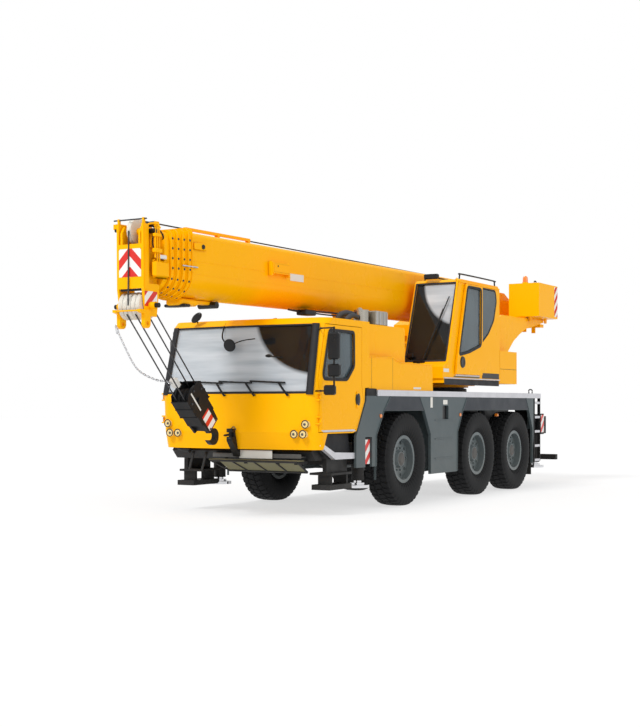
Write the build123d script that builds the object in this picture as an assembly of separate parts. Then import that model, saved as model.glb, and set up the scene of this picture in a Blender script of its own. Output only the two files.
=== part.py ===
from build123d import *
from math import atan2, cos, degrees, radians, sin, sqrt
import os

# Three-axle all-terrain mobile crane in road order: carrier, slewing
# superstructure and telescopic boom. Millimetres, +X forward, +Y left, +Z up.
# The work is laid out from the ground under the middle of axle 1, as
# (distance ahead of axle 1, height). Each piece is moved at the end so
# that the origin lies on the ground under the middle of the whole crane.

axle_ahead = 797          # axle 1 ahead of the middle of the crane
run_gap = 5               # between pieces that move past each other
seat_gap = 0.3            # between pieces that sit on each other

# axles, knuckles and wheels
axle_gap_front = 2700
axle_gap_rear = 1650
tyre_radius = 685
tyre_width = 375
shoulder_radius = 610
crown_half = 150
wheel_y = 1075            # middle of a tyre from the centre line
kingpin_y = 830
rim_seat_radius = 318
rim_flange_radius = 350
rim_half_width = 135
rim_wall = 16
hub_radius = 150
hub_face = 92
disc_in = 14              # the rim's disc, outside the middle of the tyre
disc_out = 36
spindle_radius = 62
axle_tube_radius = 105
kingpin_radius = 40
boss_radius = 82
boss_half_height = 125
strut_y = 590
strut_radius = 62
drum_radius = 205

# chassis frame
frame_half = 400
frame_wall = 25
frame_bottom = 870
frame_top = 1590
frame_nose_top = 1050
frame_front = 2250
frame_nose = 1100
box_front = -1000
frame_rear = -6110
arch_rise = 110
half_width = 1270
deck_top = 1693
deck_edge = 86

# outriggers: (name, x of the left and right beams, width, bottom, height)
beam_inner_end = 1175     # a beam's inner end, past the centre line
tunnel_half = 985
tunnel_wall = 22
tunnel_play = 6
front_beams = dict(left=1200, right=1428, width=180, bottom=672, height=300)
rear_beams = dict(left=-5692, right=-5950, width=200, bottom=955, height=320)
jack_y = 1085
jack_radius = 88
jack_rod_radius = 55
foot_radius = 168
foot_bottom = 330
foot_height = 70

# superstructure
slew_x = -3450
ring_radius = 640
ring_bottom = 1700
ring_height = 85
turn_bottom = ring_bottom + ring_height + seat_gap
pivot_x = -5750
pivot_z = 3280
pivot_pin_radius = 60
plate_inner = 335
plate_outer = 400
foot_x = -3950
foot_z = 2090
foot_pin_radius = 50

# boom: u runs along the boom from its pivot, w is square to it
boom_tilt = 0.7
boom_half = 295
boom_top_w = 455
boom_round_w = -55
section_step = 30
section_wall = 10
boom_base_end = 9900
boom_heel = 150
collar_length = 90
collar_rim = 24
wear_gap = 0.5             # between a section and the collar it slides in
tele_count = 4
head_end_u = 10625
head_half = 200
core_half = 150
frame_depth = 105          # of the upright frame at the boom's end
cheek = 30
sheave_radius = 165
sheave_bore = 45
sheave_width = 58
sheave_pitch = 64
groove = 22
rope_radius = 9
jib_pin_radius = 25
rod_eye_u = 5255
rod_eye_w = -450
luff_barrel_radius = 125
luff_rod_radius = 80

# carrier cab
cab_half = 1250
cab_wall = 50
cab_rear = 1156
cab_bottom = 1100
apron_bottom = 890
screen_base_z = 1624
screen_top_z = 2560
roof_z = 2635
front_bulge = 70
corner_reach = 200
door_gap = 8
glass_thick = 8

# crane cab
crane_cab_inner = 430
crane_cab_outer = 1250
crane_cab_wall = 45


def move_out(shape):
    return Pos(axle_ahead, 0, 0) * shape


os.makedirs("parts", exist_ok=True)


def save(name, *shapes):
    placed = [move_out(shape) for shape in shapes]
    solids = [solid for shape in placed for solid in shape.solids()]
    export_step(Compound(label=name, children=solids), f"parts/{name}.step")


def block(x0, x1, y0, y1, z0, z1):
    size = Box(abs(x1 - x0), abs(y1 - y0), abs(z1 - z0))
    return Pos((x0 + x1) / 2, (y0 + y1) / 2, (z0 + z1) / 2) * size


def side_face(points):
    """A face in the x-z plane at y = 0."""
    return Plane.XZ * make_face(Polyline(*points, close=True))


def slab(face, y0, y1):
    """A side face drawn out from y0 to y1."""
    return Pos(0, y1, 0) * extrude(face, y1 - y0)


def side_slab(points, y0, y1):
    return slab(side_face(points), y0, y1)


def both_sides(shape):
    return shape + mirror(shape, Plane.XZ)


def rod_y(x, z, radius, y0, y1):
    return Pos(x, (y0 + y1) / 2, z) * Rot(90, 0, 0) * Cylinder(radius, abs(y1 - y0))


def rod_z(x, y, radius, z0, z1):
    return Pos(x, y, (z0 + z1) / 2) * Cylinder(radius, abs(z1 - z0))


def rod_x(y, z, radius, x0, x1):
    return Pos((x0 + x1) / 2, y, z) * Rot(0, 90, 0) * Cylinder(radius, abs(x1 - x0))


axle_x = [0, -axle_gap_front, -axle_gap_front - axle_gap_rear]
sides = dict(left=1, right=-1)
beam_sets = dict(front=front_beams, rear=rear_beams)


def for_side(shape, side):
    """Pieces are drawn on the left and mirrored for the right."""
    return shape if side == "left" else mirror(shape, Plane.XZ)


# ---------------------------------------------------------------- wheels
def tyre():
    """A wide single tyre about the y axis: flat crown, straight sloping walls."""
    bead = rim_half_width - rim_wall - 9
    seat = rim_seat_radius + seat_gap
    half = tyre_width / 2
    return revolve(make_face(Polyline(
        (seat, -bead), (seat, bead), (shoulder_radius, half), (tyre_radius, crown_half),
        (tyre_radius, -crown_half), (shoulder_radius, -half), close=True)), Axis.Y)


def rim():
    """A deep single rim: barrel with two flanges, flat disc with round holes, hub."""
    seat = rim_seat_radius
    inner = seat - rim_wall
    half = rim_half_width
    flange_in = half - rim_wall + 1
    bore = spindle_radius + seat_gap
    outline = Polyline(
        (seat, -flange_in), (rim_flange_radius, -flange_in), (rim_flange_radius, -half),
        (inner, -half), (inner, disc_in), (hub_radius, disc_in), (hub_radius, -40), (bore, -40),
        (bore, hub_face - 7), (0, hub_face - 7), (0, hub_face), (hub_radius - 40, hub_face),
        (hub_radius - 15, disc_out), (inner, disc_out), (inner, half), (rim_flange_radius, half),
        (rim_flange_radius, flange_in), (seat, flange_in), close=True)
    body = revolve(make_face(outline), Axis.Y)
    holes = [Rot(0, 36 * k, 0) * rod_y(248, 0, 26, disc_in - 5, disc_out + 5) for k in range(10)]
    return body - holes


tyre_solid = tyre()
rim_solid = rim()
for number, x in enumerate(axle_x, 1):
    for side in sides:
        place = Pos(x, wheel_y, tyre_radius)
        save(f"tyre_{number}_{side}", for_side(place * tyre_solid, side))
        save(f"rim_{number}_{side}", for_side(place * rim_solid, side))


# ------------------------------------------------------ axles and knuckles
def axle():
    """A steered drive axle: tube, round casing, kingpin bosses and spring struts."""
    beam = rod_y(0, tyre_radius, axle_tube_radius, -kingpin_y + 40, kingpin_y - 40)
    casing = Pos(0, 0, tyre_radius) * revolve(make_face(Polyline(
        (0, -230), (axle_tube_radius, -230), (180, -100), (180, 100), (axle_tube_radius, 230),
        (0, 230), close=True)), Axis.Y)
    low = tyre_radius - boss_half_height
    boss = rod_z(0, kingpin_y, boss_radius, low, tyre_radius + boss_half_height)
    bore = rod_z(0, kingpin_y, kingpin_radius + seat_gap, low, tyre_radius + boss_half_height)
    strut = rod_z(0, strut_y, strut_radius, tyre_radius, 1400)
    strut += rod_z(0, strut_y, strut_radius - 18, 1400, 1450 - seat_gap)
    seat = block(-75, 75, strut_y - 75, strut_y + 75, tyre_radius, tyre_radius + 130)
    ends = both_sides(boss + strut + seat)
    return (beam + casing + ends) - both_sides(bore)


def knuckle():
    """A forked steering knuckle with kingpin ends, drum, spindle and arm."""
    x, y, z = 0, kingpin_y, tyre_radius
    gap = boss_half_height + run_gap
    plate_in = boss_radius + run_gap + 6
    body = rod_y(x, z, drum_radius, y + plate_in, wheel_y - 45)
    body += rod_y(x, z, spindle_radius, wheel_y - 45, wheel_y + 80)
    for up in (1, -1):
        low, high = sorted((z + up * gap, z + up * (gap + 48)))
        body += block(-68, 68, y, y + plate_in + 20, low, high)
        body += rod_z(x, y, 68, low, high)
        low, high = sorted((z + up * gap, z + up * 40))
        body += rod_z(x, y, kingpin_radius, low, high)
    arm = side_slab([(-40, z - gap - 48), (-40, z - gap - 8), (-235, z - gap - 8),
                     (-235, z - gap - 48)], y - 35, y + 25)
    return body + arm


axle_solid = axle()
save("axle_beams", *[Pos(x, 0, 0) * axle_solid for x in axle_x])
knuckle_solid = knuckle()
for number, x in enumerate(axle_x, 1):
    for side in sides:
        save(f"knuckle_{number}_{side}", for_side(Pos(x, 0, 0) * knuckle_solid, side))


# ------------------------------------------------------------ chassis frame
def tunnel_box(beams, cut):
    """Cross box of one pair of outrigger beams, or the two tunnels through it."""
    low = beams["bottom"] - seat_gap
    high = beams["bottom"] + beams["height"] + tunnel_play
    half = beams["width"] / 2 + tunnel_play
    if cut:
        reach = beam_inner_end + 30
        return [block(beams[s] - half, beams[s] + half, -reach, reach, low, high) for s in sides]
    first = min(beams["left"], beams["right"]) - half - tunnel_wall
    last = max(beams["left"], beams["right"]) + half + tunnel_wall
    return block(first, last, -tunnel_half, tunnel_half, low - tunnel_wall, high + tunnel_wall)


def frame():
    lower = [(frame_rear, frame_bottom)]
    for x in sorted(axle_x):
        lower += [(x - 330, frame_bottom), (x - 230, frame_bottom + arch_rise),
                  (x + 230, frame_bottom + arch_rise), (x + 330, frame_bottom)]
    outline = side_face(lower + [
        (frame_front, frame_bottom), (frame_front, frame_nose_top),
        (frame_nose, frame_nose_top), (frame_nose, frame_top), (frame_rear, frame_top)])
    body = slab(outline, -frame_half, frame_half)
    inside = frame_half - frame_wall
    hollow = slab(offset(outline, -frame_wall, kind=Kind.INTERSECTION), -inside, inside)
    body -= hollow
    body -= block(box_front + frame_wall, frame_front - frame_wall, -inside, inside, 800, 1700)
    for x in (-560, 300):
        body += block(x, x + 90, -inside, inside, 915, 1000)
    for x in axle_x:
        bracket = side_slab([(x - 90, 1450), (x + 90, 1450), (x + 130, 1560), (x - 130, 1560)],
                            frame_half, strut_y + 80)
        body += both_sides(bracket)
    for beams in beam_sets.values():
        body += tunnel_box(beams, False)
    for beams in beam_sets.values():
        body -= tunnel_box(beams, True)
    body += rod_z(slew_x, 0, ring_radius - 60, frame_top - 10, ring_bottom)
    body += rod_z(slew_x, 0, ring_radius, ring_bottom, ring_bottom + 55)
    body += rod_z(slew_x, 0, ring_radius - 45, ring_bottom + 55, ring_bottom + ring_height)
    body -= rod_z(slew_x, 0, ring_radius - 170, ring_bottom, ring_bottom + ring_height)
    for x in (1720, 2160):
        body += both_sides(rod_z(x, frame_half - 60, 45, frame_nose_top - 10, cab_bottom - seat_gap))
    return body


save("chassis_frame", frame())

save("engine_block", block(-850, 450, -330, 330, 1000 + seat_gap, 1940))


# --------------------------------------------------------------- outriggers
def outrigger_beam(beams, side):
    """A box beam with the jack's tube and a blank end plate on its outer end."""
    x = beams[side]
    half = beams["width"] / 2
    low = beams["bottom"]
    high = low + beams["height"]
    beam = block(x - half, x + half, -beam_inner_end, jack_y, low, high)
    beam += rod_z(x, jack_y, jack_radius, foot_bottom + foot_height + 30, high + 40)
    beam += block(x - half, x + half, jack_y, jack_y + 115, low, high)
    beam += block(x - 82, x + 82, jack_y + 115, jack_y + 150, low - 10, high + 50)
    bore = rod_z(x, jack_y, jack_rod_radius + seat_gap, foot_bottom, high + 28)
    return for_side(beam - bore, side)


def jack(beams, side):
    """A jack's rod with its round foot."""
    x = beams[side]
    top = beams["bottom"] + beams["height"] + 18
    rod = rod_z(x, jack_y, jack_rod_radius, foot_bottom + foot_height - 10, top)
    foot = rod_z(x, jack_y, foot_radius, foot_bottom, foot_bottom + foot_height - 30)
    foot += rod_z(x, jack_y, foot_radius - 70, foot_bottom, foot_bottom + foot_height)
    return for_side(rod + foot, side)


for end, beams in beam_sets.items():
    for side in sides:
        save(f"outrigger_beam_{end}_{side}", outrigger_beam(beams, side))
        save(f"outrigger_jack_{end}_{side}", jack(beams, side))


# ---------------------------------------------------- deck, skirts and hood
arch_top = 2 * tyre_radius + 25
skirt_out = half_width - 8
skirt_in = skirt_out - 37


def skirts():
    """Side panels with two wheel arches, a stiffened column and beam openings."""
    front_arch = [(978, 300), (970, 1050), (720, arch_top), (-570, arch_top), (-790, 1046),
                  (-800, 300)]
    rear_arch = [(-1785, 300), (-1810, 1060), (-2020, arch_top), (-4910, arch_top), (-5100, 1050),
                 (-5110, 300)]
    top = deck_top - deck_edge - seat_gap
    panel = side_slab([(1560, 620), (1560, 1050), (1270, 1540), (1260, top), (-5170, top),
                       (-5170, 900), (-5110, 430), (978, 430), (978, 620)], skirt_in, skirt_out)
    panel -= side_slab(front_arch, skirt_in - 5, skirt_out + 5)
    panel -= side_slab(rear_arch, skirt_in - 5, skirt_out + 5)
    panel -= side_slab([(-1240, 1260), (-1240, 1470), (-1460, 1470), (-1460, 1260)],
                       skirt_in - 5, skirt_out + 5)
    for z in (1270, 980, 680):
        panel += block(-1615, -960, skirt_out - 5, skirt_out + 8, z - 30, z - 12)
    # flanges that run inwards from the panel's top and its two lower fronts
    panel += block(-5170, 1140, skirt_in - 125, skirt_in, top - 26, top)
    panel += block(978, 1004, skirt_in - 50, skirt_in, 1100, top - 26)
    panel += block(-5170, -5140, skirt_in - 75, skirt_in, 1050, top - 26)
    return panel


# storage and fuel boxes fill the space between the axles, behind the panels
tank = block(-1790, -860, frame_half + seat_gap, skirt_in, 470, 1540)
tank = fillet(tank.edges().filter_by(Axis.X), 60)
beam_reach = 12
panels = []
for side in sides:
    x = front_beams[side]
    reach = jack_radius + beam_reach
    opening = block(x - reach, x + reach, skirt_in - 125, skirt_out + 40, 400,
                    front_beams["bottom"] + front_beams["height"] + 62)
    panels.append(for_side(skirts() + tank - opening, side))
save("side_panels", *panels)


def deck():
    """Aluminium deck with a deep edge strip and the slewing ring's opening."""
    plate = block(-5520, 940, 0, half_width, deck_top - 20, deck_top)
    plate += block(-5520, 940, half_width - 24, half_width, deck_top - deck_edge, deck_top)
    plate += block(-5520, -5500, 0, half_width, deck_top - deck_edge, deck_top)
    plate += block(-5520, 930, 380, 420, frame_top + seat_gap, deck_top - 20)
    plate = both_sides(plate)
    plate -= rod_z(slew_x, 0, ring_radius + 30, 1500, 1800)
    plate -= block(-900, 945, -370, 370, 1500, 1800)
    return plate


save("deck_plates", deck())


hood_top = 2620


def hood():
    """Engine hood: a low box and a taller one behind the cab, both open below."""
    wall = 35
    base = deck_top + seat_gap
    low = [(-957, base), (1140, base), (1140, 2170), (415, 2170), (268, 2100), (-875, 2090),
           (-930, 2050)]
    tall = [(-150, base), (1140, base), (1140, hood_top), (-120, hood_top), (-150, hood_top - 30)]
    body = side_slab(low, -1230, 1230) + side_slab(tall, -1150, 1150)
    inner_low = offset(side_face(low), -wall, kind=Kind.INTERSECTION)
    inner_tall = offset(side_face(tall), -wall, kind=Kind.INTERSECTION)
    body -= slab(inner_low, -1230 + wall, 1230 - wall)
    body -= slab(inner_tall, -1150 + wall, 1150 - wall)
    body -= block(-957 + wall, 1140 - wall, -1230 + wall, 1230 - wall, base - 5, base + wall + 5)
    return body


save("engine_hood", hood())

# exhaust: an upright outlet by the cab and a silencer lying across the hood
hood_seat = hood_top + seat_gap
exhaust = rod_z(820, 940, 105, hood_seat, 2832)
exhaust += rod_y(40, 2715, 88, -820, 900)
exhaust += block(-60, 140, -700, -640, hood_seat, 2700)
exhaust += block(-60, 140, 640, 700, hood_seat, 2700)
exhaust += rod_x(870, 2715, 62, 40, 820)
save("exhaust", exhaust)


# --------------------------------------------------------------- carrier cab
# height and front of the cab's corner posts, from the apron's edge to the roof
cab_fronts = [(apron_bottom, 2560), (1120, 2622), (screen_base_z, 2650), (screen_top_z, 2415),
              (roof_z, 2330)]


def cab_plan(z, front, inset):
    """Plan of the cab at one height: square rear, round corners, bowed front."""
    y = cab_half - inset
    rear = cab_rear + inset
    side_end = front - inset - corner_reach
    bow = y - corner_reach * 0.9
    mid_x = front - inset - corner_reach * 0.24
    mid_y = y - corner_reach * 0.24
    return Pos(0, 0, z) * make_face([
        Line((rear, -y), (side_end, -y)),
        ThreePointArc((side_end, -y), (mid_x, -mid_y), (front - inset, -bow)),
        ThreePointArc((front - inset, -bow), (front - inset + front_bulge, 0), (front - inset, bow)),
        ThreePointArc((front - inset, bow), (mid_x, mid_y), (side_end, y)),
        Line((side_end, y), (rear, y)),
        Line((rear, y), (rear, -y))])


def cab_form(inset):
    """The cab's outer form, or a smaller one inside it."""
    last = len(cab_fronts) - 1
    plans = []
    for k, (z, front) in enumerate(cab_fronts):
        lift = inset if k == 0 else -inset if k == last else 0
        plans.append(cab_plan(z + lift, front, inset))
    body = loft(plans, ruled=True)
    # the side outline cuts the lower edge: slanted rear corner, level sill, apron
    low = [(1000, 500), (1000, 1735), (cab_rear + 130, 1715), (1300, 1530), (1530, 1125),
           (1640, cab_bottom), (2330, cab_bottom), (2440, apron_bottom - 5), (2440, 500)]
    cut = side_face(low)
    if inset:
        cut = offset(cut, inset, kind=Kind.INTERSECTION)
    return body - slab(cut, -cab_half - 150, cab_half + 150)


door_outline = [(2528, 1125), (1640, 1125), (1545, 1150), (1330, 1530), (1385, 1760),
                (1385, 2540), (2340, 2540), (2528, 1800)]
door_window = [(2425, 1810), (1798, 1810), (1593, 2002), (1600, 2475), (2290, 2475),
               (2455, 1880)]


def screen_prism(inset):
    """What the windscreen's opening cuts from the front, less an edge gap."""
    low, high = screen_base_z + 25 + inset, screen_top_z - 30 - inset
    base, top = cab_half - 100 - inset, cab_half - 130 - inset
    window = Plane.YZ * make_face(Polyline(
        (-base, low), (-top, high), (top, high), (base, low), close=True))
    return Pos(2200, 0, 0) * extrude(window, 700)


hinge_x = 2533
hinge_y = cab_half + 12
hinge_pin = 10
hinge_levels = (1250, 1560)
hinge_height = 60


def cab():
    """Cab shell with a windscreen opening, two door openings and hinge pins."""
    body = cab_form(0) - cab_form(cab_wall)
    body -= screen_prism(0)
    doorway = offset(side_face(door_outline), door_gap, kind=Kind.INTERSECTION)
    body -= both_sides(slab(doorway, cab_half - cab_wall, cab_half + 150))
    for z in hinge_levels:
        pin = rod_z(hinge_x, hinge_y, hinge_pin, z - 24, z + hinge_height + 24)
        for low in (z - 24, z + hinge_height + 4):
            pin += block(hinge_x + 3, hinge_x + 42, hinge_y - 67, hinge_y + hinge_pin, low, low + 20)
        body += both_sides(pin)
    return body


save("cab_shell", cab())


def cab_door():
    shell = cab_form(0) - cab_form(cab_wall)
    door = shell & side_slab(door_outline, cab_half - cab_wall, cab_half + 150)
    door -= side_slab(door_window, cab_half - 150, cab_half + 150)
    for z in hinge_levels:
        leaf = block(hinge_x - 38, hinge_x, hinge_y - 44, hinge_y + 7, z, z + hinge_height)
        leaf += rod_z(hinge_x, hinge_y, hinge_pin + 6, z, z + hinge_height)
        door += leaf - rod_z(hinge_x, hinge_y, hinge_pin + seat_gap, z, z + hinge_height)
    # handle bar on the rear edge
    door += block(1480, 1540, cab_half, cab_half + 12, 1440, 1660)
    return door


def cab_screen():
    """The curved windscreen pane, set into its opening."""
    pane = cab_form(12) - cab_form(12 + glass_thick)
    return pane & screen_prism(seat_gap)


save("cab_glass", cab_screen())


def seat(x, y, z):
    """A high-backed seat on a pedestal."""
    base = block(x - 180, x + 180, y - 190, y + 190, z, z + 260)
    pad = block(x - 230, x + 270, y - 250, y + 250, z + 260, z + 390)
    back = side_slab([(x - 230, z + 330), (x - 110, z + 330), (x - 220, z + 1020),
                      (x - 310, z + 1020)], y - 230, y + 230)
    return base + pad + back


def cab_interior():
    floor = cab_bottom + cab_wall + seat_gap
    half = cab_half - 110
    body = block(1660, 2420, -half, half, floor, floor + 30)
    dash = side_slab([(2250, 1180), (2500, 1180), (2560, 1560), (2540, 1640), (2330, 1680),
                      (2230, 1600)], 100 - half, half - 100)
    column = side_slab([(2240, 1520), (2280, 1620), (2120, 1760), (2085, 1700)], 560, 640)
    body += dash + column
    body += Pos(2080, 600, 1760) * Rot(0, -60, 0) * (Torus(205, 17) + Box(400, 60, 16))
    for y in (600, -600):
        body += seat(1760, y, floor + 30)
    return body


save("cab_interior", cab_interior())

lamp_radius = 48
jaw_pin_radius = 16

# grey lower bumper with number plate ledge, lamp recesses and cab steps
bumper = side_slab([(frame_front + 5, 745), (2420, 745), (2530, 860), (2500, 885),
                    (frame_front + 5, 885)], 130 - cab_half, cab_half - 130)
bumper += block(frame_front + seat_gap, frame_front + 30, -frame_half, frame_half, 745, 1040)
# coupling jaw ahead of the cab, with its upright pin
jaw = side_slab([(2510, 790), (2610, 790), (2775, 1000), (2775, 1165), (2705, 1165), (2700, 1100),
                 (2668, 1000), (2640, 885), (2510, 870)], -45, 45)
jaw -= block(2725, 2780, -50, 50, 1055, 1115)
jaw += rod_z(2752, 0, jaw_pin_radius, 1040, 1130)
bumper += jaw
step_frame = side_slab([(1640, 550), (1640, 1090), (2330, 1090), (2420, 900), (2200, 760),
                        (2200, 550)], cab_half - 150, cab_half - 90)
step_frame += block(1650, 2200, cab_half - 350, cab_half - 10, 545, 575)
step_frame += block(1650, 2250, cab_half - 290, cab_half - 10, 350, 420)
step_frame += block(1690, 1730, cab_half - 250, cab_half - 50, 420, 545)
step_frame += block(2110, 2150, cab_half - 250, cab_half - 50, 420, 545)
step_frame += block(2300, 2400, cab_half - 250, cab_half - 140, 800, 880)
save("front_bumper", bumper + both_sides(step_frame))


def lamps():
    """Round headlamps, three a side, seated in the cab's lower front."""
    rows = [(cab_half - 145, 1228), (cab_half - 180, 1098), (cab_half - 315, 1098)]
    found = []
    for y, z in rows:
        lamp = rod_x(y, z, lamp_radius, 2560, 2664)
        found += [lamp, mirror(lamp, Plane.XZ)]
    return found


head_lamps = [lamp - cab_form(-seat_gap) for lamp in lamps()]
save("headlamps", *head_lamps)


def bar(start, end, radius):
    """A round bar between two points."""
    line = Vector(*end) - Vector(*start)
    return Plane(origin=start, z_dir=line) * extrude(Circle(radius), line.length)


mirror_swing = 43  # degrees that the right bracket is swung back
mirror_shells = ((190, 350, 2060, 2410), (185, 360, 1840, 2005), (125, 290, 1605, 1735))


def mirrors():
    """Three housings on a bracket that stands off the left front pillar."""
    foot = cab_half - 85
    knee = cab_half + 60
    post = cab_half + 270
    parts = rod_z(2630, post, 13, 1647, 2483)
    for z, x in ((2470, 2380), (1660, 2560)):
        parts += bar((x, foot, z), (2605, knee, z), 10)
        parts += bar((2605, knee, z), (2630, post, z), 10)
        parts += Pos(2605, knee, z) * Sphere(15)
    for inner, outer, low, high in mirror_shells:
        shell = block(2592, 2668, cab_half + inner, cab_half + outer, low, high)
        parts += chamfer(shell.edges(), 20)
    return parts - cab_form(-seat_gap)


def folded_mirrors():
    """The same housings on a bracket swung back beside the door, drawn on the left."""
    post = 235
    parts = rod_z(0, post, 13, 1647, 2520)
    for z in (2507, 1690):
        parts += rod_y(0, z, 10, -20, post)
    for inner, outer, low, high in mirror_shells:
        shell = block(-38, 38, inner, outer, low, high)
        parts += chamfer(shell.edges(), 20)
    return Pos(2250, cab_half, 0) * Rot(0, 0, mirror_swing) * parts


save("cab_mirrors", mirrors())
save("cab_door_left", cab_door())
save("cab_door_right", mirror(cab_door() + folded_mirrors(), Plane.XZ))

# rear end: cross tube, its hangers, ladders and mud flaps
rear_face = rear_beams["right"] - rear_beams["width"] / 2 - tunnel_play - tunnel_wall - seat_gap
rear = block(-6500, -6400, -1240, 1240, 450, 550)
for y in (700, -760):
    rear += side_slab([(-6400, 450), (-6500, 550), (-6500, 620), (rear_face - 100, 1290),
                       (rear_face, 1290), (rear_face, 1180), (-6400, 560)], y, y + 60)

ladder_top = deck_top - deck_edge - seat_gap
ladder_out = skirt_out
ladder = block(-5240, -5220, ladder_out - 52, ladder_out, 460, ladder_top)
ladder += block(-5520, -5500, ladder_out - 52, ladder_out, 460, ladder_top)
for k in range(5):
    rung = 470 + 260 * k
    ladder += block(-5500, -5240, ladder_out - 57, ladder_out - 7, rung, rung + 25)
flap = block(-5185, -5170 - seat_gap, 900, ladder_out - 52, 225, 1560)
save("rear_fittings", rear, ladder, mirror(ladder, Plane.XZ), flap, mirror(flap, Plane.XZ))


# ------------------------------------------------------------- superstructure
def turntable():
    """Two tall side plates on a round base, with box arms back to the tail."""
    floor = turn_bottom + 45
    base = rod_z(slew_x, 0, ring_radius + 30, turn_bottom, floor)
    base += block(-4490, -2500, -plate_outer, plate_outer, floor - 5, floor + 80)
    base += block(-3690, -1400, plate_outer, 1205, floor, 1900 - seat_gap)
    plate = side_slab([
        (-2500, floor), (-2500, 2150), (-3350, 2640), (-4600, 3250), (-5450, 3600),
        (-5900, 3600), (-6200, 3480), (-6430, 3400), (-6430, 2990), (-5930, 2960), (-5500, 2890),
        (-5200, 2780), (-4900, 2600), (-4700, 2420), (-4490, 2200), (-4490, floor)],
        plate_inner, plate_outer)
    arm = side_slab([
        (-4100, 2420), (-4000, 2940), (-4360, 3080), (-6400, 3090), (-6440, 3060),
        (-5930, 2960), (-5500, 2890), (-5200, 2780), (-4900, 2640), (-4600, 2420)],
        plate_outer, 985)
    side = plate + arm
    for x in (-5445, -5945, -6415):
        side += block(x, x + 30, 760, 830, 2800 if x > -5900 else 2860, 2975)
    side += rod_y(foot_x, foot_z, 130, 230, plate_outer)
    body = base + both_sides(side)
    # housings on both sides of the plates: a low one behind the cab, a long one opposite
    body += side_slab([(-4490, 1850), (-4490, 2415), (-3710, 2415), (-3710, 1850)],
                      plate_outer, 1205)
    body += side_slab([(-4490, 1850), (-4490, 2415), (-4080, 2415), (-3880, 2700),
                       (-1900, 2700), (-1750, 2500), (-1750, 1850)], -1205, -plate_outer)
    body += block(-6430, -6250, -985, 985, 2960, 3020)
    body -= rod_y(pivot_x, pivot_z, pivot_pin_radius + seat_gap, -500, 500)
    body -= rod_y(foot_x, foot_z, foot_pin_radius + seat_gap, -500, 500)
    return body


save("turntable", turntable())

tail_end = -6540
tail_top = 3735
beacon_top = 3890


def counterweight():
    """Tail block with a rounded outer corner, its foot and a beacon's stem."""
    box = block(tail_end, -5480, plate_outer, 1250, 3120, tail_top)
    outer_edges = box.edges().filter_by(Axis.Z).group_by(Axis.Y)[-1]
    box = fillet(outer_edges.sort_by(Axis.X)[0], 80)
    box -= block(tail_end - 10, -5470, plate_outer - 10, 660, 3110, tail_top + 15)
    box += block(tail_end, -6300, plate_outer + seat_gap, 700, 3120, 3500)
    box += rod_z(-5700, 900, 58, tail_top - 10, tail_top + 35)
    box += rod_z(-5700, 900, 12, tail_top + 30, beacon_top)
    foot = block(tail_end + 20, -5500, 700, 960, 3090 + seat_gap, 3120)
    return box + foot


weight = counterweight()
save("counterweight", weight, mirror(weight, Plane.XZ))


def winch():
    """The hoist drum with two flanges and its motor, between the tail blocks."""
    x, z = -6235, 3235
    drum = rod_y(x, z, 145, -230, 230)
    for y in (-250, 230):
        drum += rod_y(x, z, 185, y, y + 20)
    drum += rod_y(x, z, 60, -plate_inner + seat_gap, plate_inner - seat_gap)
    return drum


save("hoist_winch", winch())


def crane_cab_side(inset):
    """Side outline of the crane cab: raked front, curved lower rear."""
    return offset(side_face(crane_cab_points), -inset, kind=Kind.INTERSECTION)


crane_cab_roof = 3510
crane_door_top = crane_cab_roof - 70
rail_z = crane_door_top + 12
crane_cab_points = [(-1370, 1900), (-1370, 2080), (-1530, 2155), (-1985, crane_cab_roof - 40),
                    (-2060, crane_cab_roof), (-3610, crane_cab_roof),
                    (-3690, crane_cab_roof - 70), (-3700, 1900)]
crane_door_outline = [(-1800, 1975), (-1830, 2170), (-2200, crane_door_top),
                      (-2850, crane_door_top), (-2850, 1975)]
crane_door_window = [(-1915, 2290), (-2245, crane_door_top - 50), (-2790, crane_door_top - 50),
                     (-2775, 2470), (-2300, 2350)]
rear_window = [(-2925, 3420), (-3500, 3420), (-3550, 3250), (-3430, 2920), (-3200, 2690),
               (-2925, 2530)]
# the crane cab's windscreen: its heights, and the post left on each side of it
front_low = 2175
front_high = crane_cab_roof - 60
front_post = crane_cab_wall + 3


def crane_cab_form(inset):
    return slab(crane_cab_side(inset) if inset else side_face(crane_cab_points),
                crane_cab_inner + inset, crane_cab_outer - 45 - inset)


def crane_cab():
    """Crane cab shell: windscreen, roof, rear and side windows, sliding doorway."""
    body = crane_cab_form(0) - crane_cab_form(crane_cab_wall)
    outer = crane_cab_outer - 45
    body -= side_slab([(-1400, front_low), (-1640, front_low), (-2080, front_high),
                       (-1400, front_high)], crane_cab_inner + front_post, outer - front_post)
    body -= side_slab(rear_window, outer - 100, outer + 10)
    body -= slab(offset(side_face(crane_door_outline), -60, kind=Kind.INTERSECTION),
                 outer - 100, outer + 10)
    body += block(-3640, -2010, outer - 5, outer + 22, rail_z, rail_z + 22)
    return body


save("crane_cab_shell", crane_cab())


def crane_door():
    """Sliding door, hung outside the cab's wall."""
    outer = crane_cab_outer - 45 + run_gap
    door = side_slab(crane_door_outline, outer, crane_cab_outer)
    door -= side_slab(crane_door_window, outer - 5, crane_cab_outer + 5)
    for x in (-2780, -2320):
        door += block(x, x + 60, outer, outer + 14, crane_door_top - 10, rail_z - seat_gap)
    return door


save("crane_cab_door", crane_door())


def crane_glass():
    """Windscreen and rear quarter pane."""
    outer = crane_cab_outer - 45
    pane = crane_cab_form(12) - crane_cab_form(12 + glass_thick)
    edge = front_post + seat_gap
    front = pane & block(-2060, -1400, crane_cab_inner + edge, outer - edge,
                         front_low + seat_gap, front_high - seat_gap)
    quarter = slab(offset(side_face(rear_window), -seat_gap, kind=Kind.INTERSECTION),
                   outer - 20, outer - 12)
    return front, quarter


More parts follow.
